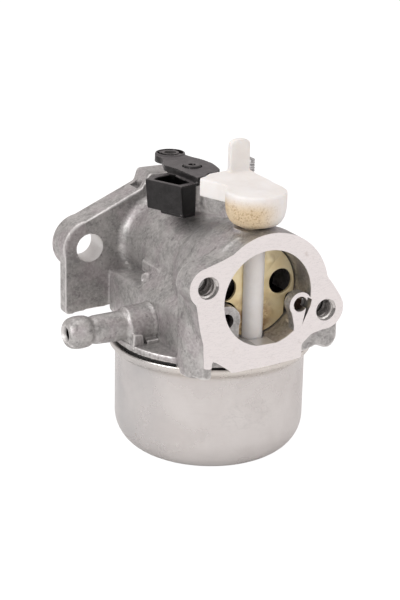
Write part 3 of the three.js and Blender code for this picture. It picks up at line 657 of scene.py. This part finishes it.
steel, tree, shader, place = new_material("bright_steel")
rings = effect(tree, scratches, stretched(tree, place, (1, 1, 12)), Size=140.0, Share=0.7)
cloud = effect(tree, mottle, place, Blotch_Size=400.0, Grain_Size=2600.0, Pit_Size=1000.0, Pit_Share=0.06)
silver = mixed(tree, cloud["Tone"], (0.46, 0.46, 0.47, 1), (0.68, 0.68, 0.68, 1))
silver = mixed(tree, maths(tree, "MULTIPLY", rings["Lines"], 0.4), silver, (0.25, 0.25, 0.26, 1))
tree.links.new(silver, shader.inputs["Base Color"])
tree.links.new(between(tree, cloud["Grain"], 0.3, 0.7, 0.22, 0.42), shader.inputs["Roughness"])
shader.inputs["Metallic"].default_value = 1
bumped(tree, shader, rings["Height"], 0.00003)

float_plastic, tree, shader, place = new_material("float_moulding")
skin = effect(tree, mottle, place, Blotch_Size=180.0, Grain_Size=1800.0, Pit_Size=800.0, Pit_Share=0.05)
tree.links.new(mixed(tree, skin["Tone"], (0.012, 0.012, 0.013, 1), (0.03, 0.03, 0.032, 1)),
    shader.inputs["Base Color"])
tree.links.new(between(tree, skin["Grain"], 0.3, 0.7, 0.35, 0.6), shader.inputs["Roughness"])
bumped(tree, shader, skin["Height"], 0.00006)

rubber, tree, shader, place = new_material("black_rubber")
skin = effect(tree, mottle, place, Blotch_Size=300.0, Grain_Size=2200.0, Pit_Size=900.0, Pit_Share=0.05)
tree.links.new(mixed(tree, skin["Tone"], (0.006, 0.006, 0.006, 1), (0.02, 0.019, 0.018, 1)),
    shader.inputs["Base Color"])
tree.links.new(between(tree, skin["Grain"], 0.3, 0.7, 0.6, 0.85), shader.inputs["Roughness"])
bumped(tree, shader, skin["Height"], 0.00006)

for name, finish in (
    ("main_nozzle", brass), ("idle_jet", brass), ("inlet_seat", brass), ("inlet_needle", steel),
    ("float_pin", steel), ("float", float_plastic), ("throttle_shaft_seal", rubber),
    ("bowl_nut_washer", rubber), ("bowl_gasket", rubber),
):
    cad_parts[name].data.materials[0] = finish

# ---------------------------------------------------------------- float bowl and its nut
# The bowl is drawn from thin steel sheet and plated: a straight wall, a big corner, a bottom that steps up
# round the nut and a lip that flares out under the gasket. A brass nut holds it from below.
BOWL_R = 26.35
CORNER_R = 9.7
BOTTOM_Z = -51.9
WALL = 0.9


def corner(radius, steps=14):
    """The big lower corner, from the bottom up to the wall."""
    line = []
    for i in range(steps + 1):
        a = math.pi / 2 * i / steps
        line.append((BOWL_R - CORNER_R + radius * math.sin(a), BOTTOM_Z + CORNER_R - radius * math.cos(a)))
    return line


outside = [(3.6, BOTTOM_Z + 1.2), (6.6, BOTTOM_Z + 1.2), (7.2, BOTTOM_Z + 1.0), (8, BOTTOM_Z + 0.25), (8.7,
    BOTTOM_Z)]
outside += corner(CORNER_R)
outside += [(BOWL_R, -30), (BOWL_R, -24.2), (26.5, -23.5), (26.9, -22.8), (27.7, -22), (28.05, -21.5),
    (28.2, -21), (28.2, -20.3), (28.05, -20.05)]
inside = [(26.7, -20.05), (26.5, -20.8), (26.1, -22.4), (BOWL_R - WALL, -23.6)]
inside += corner(CORNER_R - WALL)[::-1]
inside += [(8.9, BOTTOM_Z + WALL), (7.4, BOTTOM_Z + 1.2 + WALL), (3.6, BOTTOM_Z + 1.2 + WALL)]
shape = bmesh.new()
turned(shape, "z", (0, BOWL_Y), outside + inside, 192, closed=True)
bowl = solid("float_bowl_pressing", shape)

plated, tree, shader, place = new_material("plated_bowl_steel")
cloud = effect(tree, mottle, place, Blotch_Size=55.0, Grain_Size=900.0, Pit_Size=300.0, Pit_Share=0.03)
drawn = effect(tree, scratches, stretched(tree, place, (1, 1, 0.12)), Size=420.0, Share=0.5)
hoops = effect(tree, scratches, stretched(tree, place, (0.25, 0.25, 9)), Size=120.0, Share=0.4)
nicks = effect(tree, scratches, stretched(tree, place, (1, 1, 2.5), (0.3, 0.2, 0)), Size=170.0, Share=0.25)
silver = mixed(tree, cloud["Tone"], (0.66, 0.63, 0.615, 1), (0.74, 0.715, 0.70, 1))
up = node(tree, "ShaderNodeSeparateXYZ", {0: place}).outputs["Z"]
silver = mixed(tree, between(tree, up, -0.0243, -0.0222, 0, 0.45), silver, (0.80, 0.75, 0.67, 1))
silver = mixed(tree, maths(tree, "MULTIPLY", hoops["Lines"], 0.12), silver, (0.5, 0.49, 0.48, 1))
nick_patch = node(tree, "ShaderNodeTexNoise", {"Vector": place, "Scale": 60.0, "Detail": 1.0}).outputs[0]
nick = maths(tree, "MULTIPLY", nicks["Lines"], between(tree, nick_patch, 0.5, 0.7, 0, 0.55))
silver = mixed(tree, nick, silver, (0.33, 0.33, 0.33, 1))
rust_cells = node(tree, "ShaderNodeTexNoise", {"Vector": place, "Scale": 700.0, "Detail": 4.0}).outputs[0]
rust_patch = node(tree, "ShaderNodeTexNoise", {"Vector": place, "Scale": 45.0, "Detail": 1.0}).outputs[0]
low_down = between(tree, up, -0.038, -0.046, 0, 1)
rust = maths(tree, "MULTIPLY", between(tree, rust_cells, 0.6, 0.68, 0, 0.8), between(tree, rust_patch,
    0.56, 0.68))
rust = maths(tree, "MULTIPLY", rust, low_down)
silver = mixed(tree, rust, silver, (0.42, 0.2, 0.09, 1))
# painted reflection: a darker bluish cloud on the left side of the bowl
painted_reflection = node(tree, "ShaderNodeTexNoise", {"Vector": place, "Scale": 70.0, "Detail": 3.0}).outputs[0]
leftward = between(tree, node(tree, "ShaderNodeSeparateXYZ", {0: place}).outputs["X"], -0.019, -0.0262, 0,
    0.6)
painted_reflection = maths(tree, "MULTIPLY", between(tree, painted_reflection, 0.35, 0.65, 0.4, 1), leftward)
silver = mixed(tree, painted_reflection, silver, (0.47, 0.475, 0.485, 1))
tree.links.new(silver, shader.inputs["Base Color"])
rough = between(tree, cloud["Tone"], 0, 1, 0.3, 0.22)
tree.links.new(maths(tree, "ADD", rough, maths(tree, "MULTIPLY", rust, 0.4)), shader.inputs["Roughness"])
shader.inputs["Metallic"].default_value = 1
waves = maths(tree, "ADD", maths(tree, "MULTIPLY", cloud["Tone"], 0.7), maths(tree, "MULTIPLY",
    drawn["Height"], 0.2))
bumped(tree, shader, waves, 0.00008, 0.5)
finish_piece(bowl, plated, "casting", ["float_bowl"], sharp=50)

washer_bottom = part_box("bowl_nut_washer")[0].z / MM
nut_top = washer_bottom - 0.2
shape = bmesh.new()
flats = [(5.6 * math.cos(math.radians(60 * i)), BOWL_Y + 5.6 * math.sin(math.radians(60 * i)),
    0.5) for i in range(6)]
plate(shape, "z", flats, nut_top - 3.8, nut_top - 0.6)
nut = solid("bowl_nut_turned", shape)
chamfer = bmesh.new()
turned(chamfer, "z", (0, BOWL_Y), [(0, nut_top - 4.2), (4.5, nut_top - 4.2), (5.8, nut_top - 3), (5.8,
    nut_top), (0, nut_top)])
tool = solid("tool", chamfer)
worked(nut, "BOOLEAN", operation="INTERSECT", object=tool, solver="MANIFOLD")
bpy.data.objects.remove(tool)
collar = bmesh.new()
turned(collar, "z", (0, BOWL_Y), [
    (0, nut_top - 1), (5.8, nut_top - 1), (6.1, nut_top - 0.7), (6.1, nut_top), (2.4, nut_top), (2.4,
    -43.2), (0, -43.2),
])
cut(nut, collar, "UNION")
drill = bmesh.new()
bar(drill, "z", (0, BOWL_Y), -46, -43, 1.1)
cut(nut, drill)
finish_piece(nut, brass, "casting", ["bowl_nut"])

# ---------------------------------------------------------------- throttle shaft, lever and plate
# One black glass-filled moulding: the shaft stands through the barrel, and on top are the lever, a link
# socket open at the top and a raised eye. A thin brass disc is screwed into the slot of the shaft.
shape = bmesh.new()
plate(shape, "z", [
    (-3.6, -12.4, 2), (-4.2, -9.6, 2), (-2.6, -5.9, 2), (1, -4.6, 2.4), (4.2, -6.8, 2), (4.3, -13.5, 3),
    (6.2, -18, 2), (6.8, -23.4, 2), (5.6, -29.6, 0.8), (3.1, -32, 0.8), (0.4, -31.9, 0.8), (-1.6, -34.3,
    0.8),
    (-4.4, -34.8, 0.5), (-5.2, -24.4), (-6.6, -19.6, 1),
], 23.3, 25)
plate(shape, "z", [(-4.6, -34), (-4.6, -21), (2, -20), (3, -26), (-2, -33)], 22.2, 24)
socket_corners = [(-14.8, -24.3, 0.4), (-9.6, -35.5, 0.3), (-4.3, -34.3, 0.3), (-4.4, -20.6, 0.4), (-11.4,
    -22.4, 0.8)]
plate(shape, "z", socket_corners, 15, 23.2)
plate(shape, "z", [(-12.6, -27.9), (-9.4, -35.3, 0.3), (-4.3, -34.2, 0.3), (-4.3, -28)], 14.1, 15.6)
bar(shape, "z", (1, -8.6), 22.7, 25.3, 4.4, 4.2)
bar(shape, "z", (0, THROTTLE_Y), 24, 25.5, 2.4, 2.2)
bar(shape, "z", (0, THROTTLE_Y), 19, 23, 2.6)
lever = cast_soft(solid("throttle_shaft_moulding", shape), 0.2, 2)
# the socket's outer walls lean in towards the bottom, as they have to leave the mould
for point in lever.data.vertices:
    lean = min(max((-4.5 - point.co.x) / 6, 0), 1) * max(22 - point.co.z, 0) * 0.1
    point.co.x += lean
shaft = bmesh.new()
bar(shaft, "z", (0, THROTTLE_Y), -12.9, 21, 2.6)
cut(lever, shaft, "UNION")
pocket = bmesh.new()
plate(pocket, "z", [
    (-13, -25.6, 0.4), (-9.2, -33.6, 0.3), (-5.5, -32.9, 0.3), (-5.5, -24, 0.4), (-6.4, -22.9, 0.4),
    (-10.6, -23.9, 0.8),
], 15.6, 26)
cut(lever, pocket)
eye = bmesh.new()
turned(eye, "z", (1, -8.6), [(0, 21), (1.7, 21), (1.7, 25.2), (2.1, 25.7), (2.1, 27), (0, 27)])
cut(lever, eye)
dimple = bmesh.new()
bar(dimple, "z", (0, THROTTLE_Y), 24.4, 27, 1.1)
cut(lever, dimple)
# a shallow ring groove round the shaft's head, and one round the eye
for centre, inner, outer, floor in (((0, THROTTLE_Y), 2.4, 2.8, 24.3), ((1, -8.6), 2.5, 3.7, 23.6)):
    groove = bmesh.new()
    turned(groove, "z", centre, [(inner, floor), (outer, floor), (outer, 27), (inner, 27)], closed=True)
    cut(lever, groove)
for angle in (-65, 115):
    bridge = bmesh.new()
    block(bridge, (2.3, -1.3, 23.4), (3.9, 1.3, 25.1))
    bridge.transform(Matrix.Translation((1, -8.6, 0)) @ Matrix.Rotation(math.radians(angle), 4, "Z"))
    cut(lever, bridge, "UNION")
slit = bmesh.new()
block(slit, (-0.8, THROTTLE_Y - 10, -9.8), (0.8, THROTTLE_Y + 10, 9.8))
cut(lever, slit)
for z in (-4.2, 4.2):
    drill = bmesh.new()
    bar(drill, "x", (THROTTLE_Y, z), -4, 4, 1.25)
    cut(lever, drill)

black, tree, shader, place = new_material("black_moulding")
skin = effect(tree, mottle, place, Blotch_Size=500.0, Grain_Size=3200.0, Pit_Size=1300.0, Pit_Share=0.06)
dust = node(tree, "ShaderNodeTexNoise", {"Vector": place, "Scale": 900.0, "Detail": 6.0,
    "Roughness": 0.7}).outputs[0]
coal = mixed(tree, skin["Tone"], (0.012, 0.0112, 0.0115, 1), (0.026, 0.0245, 0.025, 1))
coal = mixed(tree, between(tree, dust, 0.56, 0.72, 0, 0.3), coal, (0.07, 0.066, 0.067, 1))
# painted highlight along the sharp edges
edge = node(tree, "ShaderNodeNewGeometry").outputs["Pointiness"]
coal = mixed(tree, between(tree, edge, 0.52, 0.58, 0, 0.8), coal, (0.19, 0.18, 0.18, 1))
# painted light: faces that look up are painted a lighter grey
facing = node(tree, "ShaderNodeTexCoord").outputs["Normal"]
upward = node(tree, "ShaderNodeSeparateXYZ", {0: facing}).outputs["Z"]
coal = mixed(tree, between(tree, upward, 0.7, 0.95, 0, 0.6), coal, (0.11, 0.1, 0.104, 1))
# painted shade: upward faces low inside the socket are painted near black
low_inside = between(tree, node(tree, "ShaderNodeSeparateXYZ", {0: place}).outputs["Z"], 0.0215, 0.0195)
coal = mixed(tree, maths(tree, "MULTIPLY", low_inside, between(tree, upward, 0.5, 0.8)), coal, (0.002,
    0.002, 0.002, 1))
# painted shade: the inside of the link socket, and its front wall, are painted near black
pocket_place = node(tree, "ShaderNodeVectorMath", {0: place, 1: (-0.0085, -0.0285, 0)},
    operation="SUBTRACT").outputs[0]
pocket_place = node(tree, "ShaderNodeVectorMath", {0: pocket_place, 1: (1, 1, 0)},
    operation="MULTIPLY").outputs[0]
inward = node(tree, "ShaderNodeVectorMath", {0: facing, 1: pocket_place},
    operation="DOT_PRODUCT").outputs["Value"]
spot = node(tree, "ShaderNodeSeparateXYZ", {0: place}).outputs
inner = maths(tree, "MULTIPLY", maths(tree, "LESS_THAN", inward, -0.0004), maths(tree, "LESS_THAN",
    spot["X"], -0.0046))
inner = maths(tree, "MULTIPLY", inner, maths(tree, "LESS_THAN", spot["Z"], 0.0229))
frontal = node(tree, "ShaderNodeVectorMath", {0: facing, 1: (0.2, -0.98, 0)},
    operation="DOT_PRODUCT").outputs["Value"]
frontal = maths(tree, "MULTIPLY", between(tree, frontal, 0.8, 0.95), maths(tree, "LESS_THAN", spot["Z"],
    0.0226))
coal = mixed(tree, maths(tree, "MAXIMUM", inner, maths(tree, "MULTIPLY", frontal, 0.85)), coal, (0.001,
    0.001, 0.001, 1))
tree.links.new(coal, shader.inputs["Base Color"])
tree.links.new(between(tree, skin["Tone"], 0, 1, 0.42, 0.33), shader.inputs["Roughness"])
bumped(tree, shader, skin["Height"], 0.00006)
shader.inputs["Specular IOR Level"].default_value = 0.25
finish_piece(lever, black, "throttle", ["throttle_shaft_lever"], sharp=30)
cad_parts["throttle_plate"].data.materials[0] = brass
for i in (1, 2):
    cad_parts[f"throttle_plate_screw_{i}"].data.materials[0] = steel

# ---------------------------------------------------------------- choke shaft, cup, lever and plate
# One milky white moulding: the shaft crosses the horn mouth, a cup covers its top end, and a flat lever
# runs back to an upright tab for the control. A gold-passivated steel disc snaps into the shaft's slot.
shape = bmesh.new()
turned(shape, "z", (0.5, CHOKE_Y), [
    (0, 17.9), (5, 17.9), (6.2, 18.4), (7, 19.2), (7.6, 20.4), (7.9, 21.6), (8.1, 23.4), (8.1, 26.8), (7.9,
    27), (0, 27),
])
plate(shape, "z", [
    (8.5, -58.5), (9.1, -39.6, 1.2), (8.4, -38.3, 0.8), (2.9, -37.8, 0.6), (-3.2, -38.9, 1), (-5.2, -40.9,
    0.8),
    (-7.8, -41.9, 1), (-4.4, -50.5), (-6.5, -56), (-6.5, -60),
], 22.2, 27)
plate(shape, "y", [(2.8, 26.5), (8.9, 26.5), (8.85, 35.3, 1.3), (5.9, 36.1, 2), (2.9, 35.3, 1.3)], -40.2,
    -38.2)
choke_lever = cast_soft(solid("choke_shaft_moulding", shape), 0.3, 3)
shaft = bmesh.new()
bar(shaft, "z", (0, CHOKE_Y), -14.6, 18.6, 3.2)
cut(choke_lever, shaft, "UNION")
slit = bmesh.new()
block(slit, (-13.4, CHOKE_Y - 0.7, -13.2), (13.4, CHOKE_Y + 0.7, 13.2))
cut(choke_lever, slit)

milky, tree, shader, place = new_material("milky_moulding")
skin = effect(tree, mottle, place, Blotch_Size=140.0, Grain_Size=1600.0, Pit_Size=700.0, Pit_Share=0.03)
white = mixed(tree, skin["Tone"], (0.81, 0.785, 0.76, 1), (0.88, 0.865, 0.85, 1))
spot = node(tree, "ShaderNodeSeparateXYZ", {0: place}).outputs
cup_low = between(tree, spot["Z"], 0.0268, 0.0228, 0, 1)
cup_low = maths(tree, "MULTIPLY", cup_low, between(tree, spot["Z"], 0.0165, 0.0178, 0, 1))
cup_side = between(tree, spot["X"], 0.0050, -0.0035, 0, 1)
cup_front = between(tree, spot["Y"], -0.050, -0.056, 0, 1)
stain_place = node(tree, "ShaderNodeTexNoise", {"Vector": place, "Scale": 520.0, "Detail": 7.0,
    "Roughness": 0.72}).outputs[0]
stain = maths(tree, "MULTIPLY", maths(tree, "MULTIPLY", cup_low, cup_side), cup_front)
white = mixed(tree, maths(tree, "MULTIPLY", stain, 0.72), white, (0.68, 0.50, 0.24, 1))
specks = node(tree, "ShaderNodeTexNoise", {"Vector": place, "Scale": 2100.0, "Detail": 5.0,
    "Roughness": 0.7}).outputs[0]
specks = maths(tree, "MULTIPLY", between(tree, specks, 0.46, 0.6, 0, 0.7), between(tree, stain_place, 0.4,
    0.6, 0.15, 1))
white = mixed(tree, maths(tree, "MULTIPLY", stain, specks), white, (0.36, 0.22, 0.09, 1))
tree.links.new(white, shader.inputs["Base Color"])
tree.links.new(between(tree, skin["Grain"], 0.3, 0.7, 0.38, 0.55), shader.inputs["Roughness"])
shader.inputs["Subsurface Weight"].default_value = 0.35
shader.inputs["Subsurface Radius"].default_value = (1.0, 0.85, 0.7)
shader.inputs["Subsurface Scale"].default_value = 0.002
bumped(tree, shader, skin["Height"], 0.00005)
finish_piece(choke_lever, milky, "choke", ["choke_shaft_lever"], sharp=30)

shape = bmesh.new()
bar(shape, "y", (0, 0), CHOKE_Y - 0.4, CHOKE_Y + 0.4, 12.72, sides=160)
disc = solid("choke_plate_pressing", shape)
# The plate is cut away round the two passage bosses and the flat floor, and has two air holes.
for corners in (
    [(-14, -14), (-14, -6.6), (-4.3, -6.6), (-4.3, -14)],
    [(9.6, -14), (9.8, -4.4, 1.6), (10.6, -2.4, 1.2), (14, -2.2), (14, -14)],
    [(4.5, -14), (4.6, -12), (8.9, -10.3, 1), (9.9, -8.4, 1), (11, -8), (11, -14)],
    [(-14, -14), (-14, -12.45), (14, -12.45), (14, -14)],
):
    notch = bmesh.new()
    plate(notch, "y", corners, CHOKE_Y - 2, CHOKE_Y + 2)
    cut(disc, notch)
for centre, radius in ((LEFT_PASSAGE, 4.8), ((8.5, 1.1), 3.5), ((-8.5, 1.1), 3.5)):
    drill = bmesh.new()
    bar(drill, "y", centre, CHOKE_Y - 2, CHOKE_Y + 2, radius)
    cut(disc, drill)
for z in (7.6, -7.4):
    pip = bmesh.new()
    turned(pip, "y", (5.1, z), [
        (0, CHOKE_Y - 0.9), (0.5, CHOKE_Y - 0.88), (1.0, CHOKE_Y - 0.75), (1.5, CHOKE_Y - 0.5), (1.9,
        CHOKE_Y - 0.3), (0, CHOKE_Y - 0.3),
    ], 32)
    cut(disc, pip, "UNION")
worked(disc, "BEVEL", width=0.12, segments=2, limit_method="ANGLE", angle_limit=math.radians(50))

gold, tree, shader, place = new_material("gold_passivated_zinc")
film = effect(tree, mottle, place, Blotch_Size=160.0, Grain_Size=1400.0, Pit_Size=600.0, Pit_Share=0.05)
yellow = mixed(tree, film["Tone"], (0.90, 0.73, 0.40, 1), (0.98, 0.87, 0.58, 1))
spot = node(tree, "ShaderNodeSeparateXYZ", {0: place}).outputs
stain_place = node(tree, "ShaderNodeTexNoise", {"Vector": place, "Scale": 330.0, "Detail": 6.0,
    "Roughness": 0.7}).outputs[0]
by_shaft = between(tree, maths(tree, "ABSOLUTE", spot["X"]), 0.0075, 0.0035, 0, 1)
low_down = between(tree, spot["Z"], 0.0005, -0.0075, 0, 1)
stain = maths(tree, "MULTIPLY", maths(tree, "MULTIPLY", by_shaft, low_down), between(tree, stain_place,
    0.4, 0.6, 0.2, 1))
yellow = mixed(tree, stain, yellow, (0.36, 0.22, 0.11, 1))
tree.links.new(yellow, shader.inputs["Base Color"])
tree.links.new(between(tree, film["Grain"], 0.3, 0.7, 0.36, 0.5), shader.inputs["Roughness"])
shader.inputs["Metallic"].default_value = 0.3
bumped(tree, shader, film["Height"], 0.00007)
finish_piece(disc, gold, "choke", ["choke_plate"], sharp=35)

# ---------------------------------------------------------------- idle mixture screw and its spring
# A steel needle screw with a slotted head turns in its boss, and a coil spring under the head holds it.
shape = bmesh.new()
turned(shape, "z", MIXTURE_AT, [
    (0, 2.6), (0.3, 2.6), (1.2, 7), (1.45, 7.4), (1.45, 24.2), (1.9, 24.3), (2.1, 24.5), (2.1, 27.7), (1.9,
    28), (0, 28),
], 48)
screw = solid("idle_mixture_screw_turned", shape)
slit = bmesh.new()
block(slit, (MIXTURE_AT[0] - 3, MIXTURE_AT[1] - 0.4, 26.6), (MIXTURE_AT[0] + 3, MIXTURE_AT[1] + 0.4, 29))
cut(screw, slit)
crest = wound("crest", spiral, steel, {"Radius": 1.42, "Turns": 16.0, "Height": 12.0, "Section": 0.2,
    "Sides": 4},
              Matrix.Identity(4), Vector((*MIXTURE_AT, 11.5)))
ribs = wound("ribs", spiral, steel, {"Radius": 2.15, "Turns": 4.2, "Height": 3.1, "Section": 0.33,
    "Sides": 8},
             Matrix.Identity(4), Vector((*MIXTURE_AT, 24.55)))
screw = joined("idle_mixture_screw_turned", [screw, crest, ribs])
finish_piece(screw, steel, "mixture_screw", ["idle_mixture_screw"])
spring = wound("idle_mixture_coil", spiral, steel, {"Radius": 2.3, "Turns": 4.5, "Height": 6.3,
    "Section": 0.36, "Sides": 12},
               Matrix.Identity(4), Vector((*MIXTURE_AT, 17.3)))
finish_piece(spring, steel, "casting", ["idle_mixture_spring"], sharp=60)

# ---------------------------------------------------------------- pressed plug of the idle passage
# A small cup plug pressed into the drilled end of the passage in the right shoulder.
shape = bmesh.new()
turned(shape, "x", (-40, -6.5), [(0, 16.3), (3.2, 16.3), (3.2, 16.8), (3.1, 17.0), (2.9, 17.1), (2.5,
    17.1), (2.2, 16.8), (0, 16.7)], 48)
plug = solid("idle_passage_cup", shape)
finish_piece(plug, steel, "casting", ["idle_passage_plug"])

# ---------------------------------------------------------------- the table, the lights and the camera
# The carburetor stands on a plain pale table under large soft lights.
floor_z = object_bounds()[0].z - 0.0002
bm = bmesh.new()
for x, y in ((-6, -6), (6, -6), (6, 6), (-6, 6)):
    bm.verts.new((x, y, floor_z))
bm.faces.new(bm.verts)
table = solid("table", bm)
pale, tree, shader, place = new_material("pale_table")
fibre = node(tree, "ShaderNodeTexNoise", {"Vector": place, "Scale": 40.0, "Detail": 3.0}).outputs[0]
tree.links.new(mixed(tree, fibre, (0.87, 0.87, 0.87, 1), (0.9, 0.9, 0.9, 1)), shader.inputs["Base Color"])
shader.inputs["Roughness"].default_value = 0.9
# Seen straight on the table is washed out by its own back light, and what it throws back is softer.
glow = node(tree, "ShaderNodeEmission", {"Color": (1, 1, 1, 1), "Strength": 1.12})
seen = maths(tree, "MULTIPLY", tree.nodes.new("ShaderNodeLightPath").outputs["Is Camera Ray"], 0.9)
washed = node(tree, "ShaderNodeMixShader", {0: seen, 1: shader.outputs[0], 2: glow.outputs[0]})
tree.links.new(washed.outputs[0], tree.nodes["Material Output"].inputs[0])
table.data.materials.append(pale)

world = bpy.data.worlds.new("studio_air")
bpy.context.scene.world = world
world.use_nodes = True
air = world.node_tree
air.nodes.clear()
way = node(air, "ShaderNodeSeparateXYZ",
    {0: air.nodes.new("ShaderNodeTexCoord").outputs["Generated"]}).outputs
level = between(air, way["Z"], 0.0, 0.9, 0.58, 0.78)
sky = node(air, "ShaderNodeBackground", {"Color": (1, 0.945, 0.93, 1), "Strength": level})
world_out = air.nodes.new("ShaderNodeOutputWorld")
air.links.new(sky.outputs[0], world_out.inputs[0])


def softbox(name, spot, target, size, power):
    """A large square lamp aimed at a point."""
    lamp = bpy.data.lights.new(name, "AREA")
    lamp.size = size
    lamp.energy = power
    made = bpy.data.objects.new(name, lamp)
    made.location = spot
    made.rotation_euler = (Vector(target) - Vector(spot)).to_track_quat("-Z", "Y").to_euler()
    bpy.context.scene.collection.objects.link(made)


middle = (0, -0.033, -0.01)
softbox("top_softbox", (-0.1, 0.1, 0.7), middle, 0.5, 0.85)
softbox("front_softbox", (0.35, -0.75, 0.35), middle, 0.5, 0.9)
softbox("left_softbox", (-0.75, -0.15, 0.35), middle, 0.4, 2.1)

# The camera stands to the front left, a little above.
eye_at = Vector((-0.22834, -0.44671, 0.15312))
right = Vector((0.8803, -0.4740, 0.0208))
above = Vector((0.1384, 0.2985, 0.9443))
lens = bpy.data.cameras.new("camera")
lens.lens = 108
lens.sensor_width = 36
camera = bpy.data.objects.new("camera", lens)
camera.matrix_world = Matrix.Translation(eye_at) @ Matrix((right, above,
    right.cross(above))).transposed().to_4x4()
bpy.context.scene.collection.objects.link(camera)
bpy.context.scene.camera = camera
bpy.context.scene.view_settings.view_transform = "Standard"
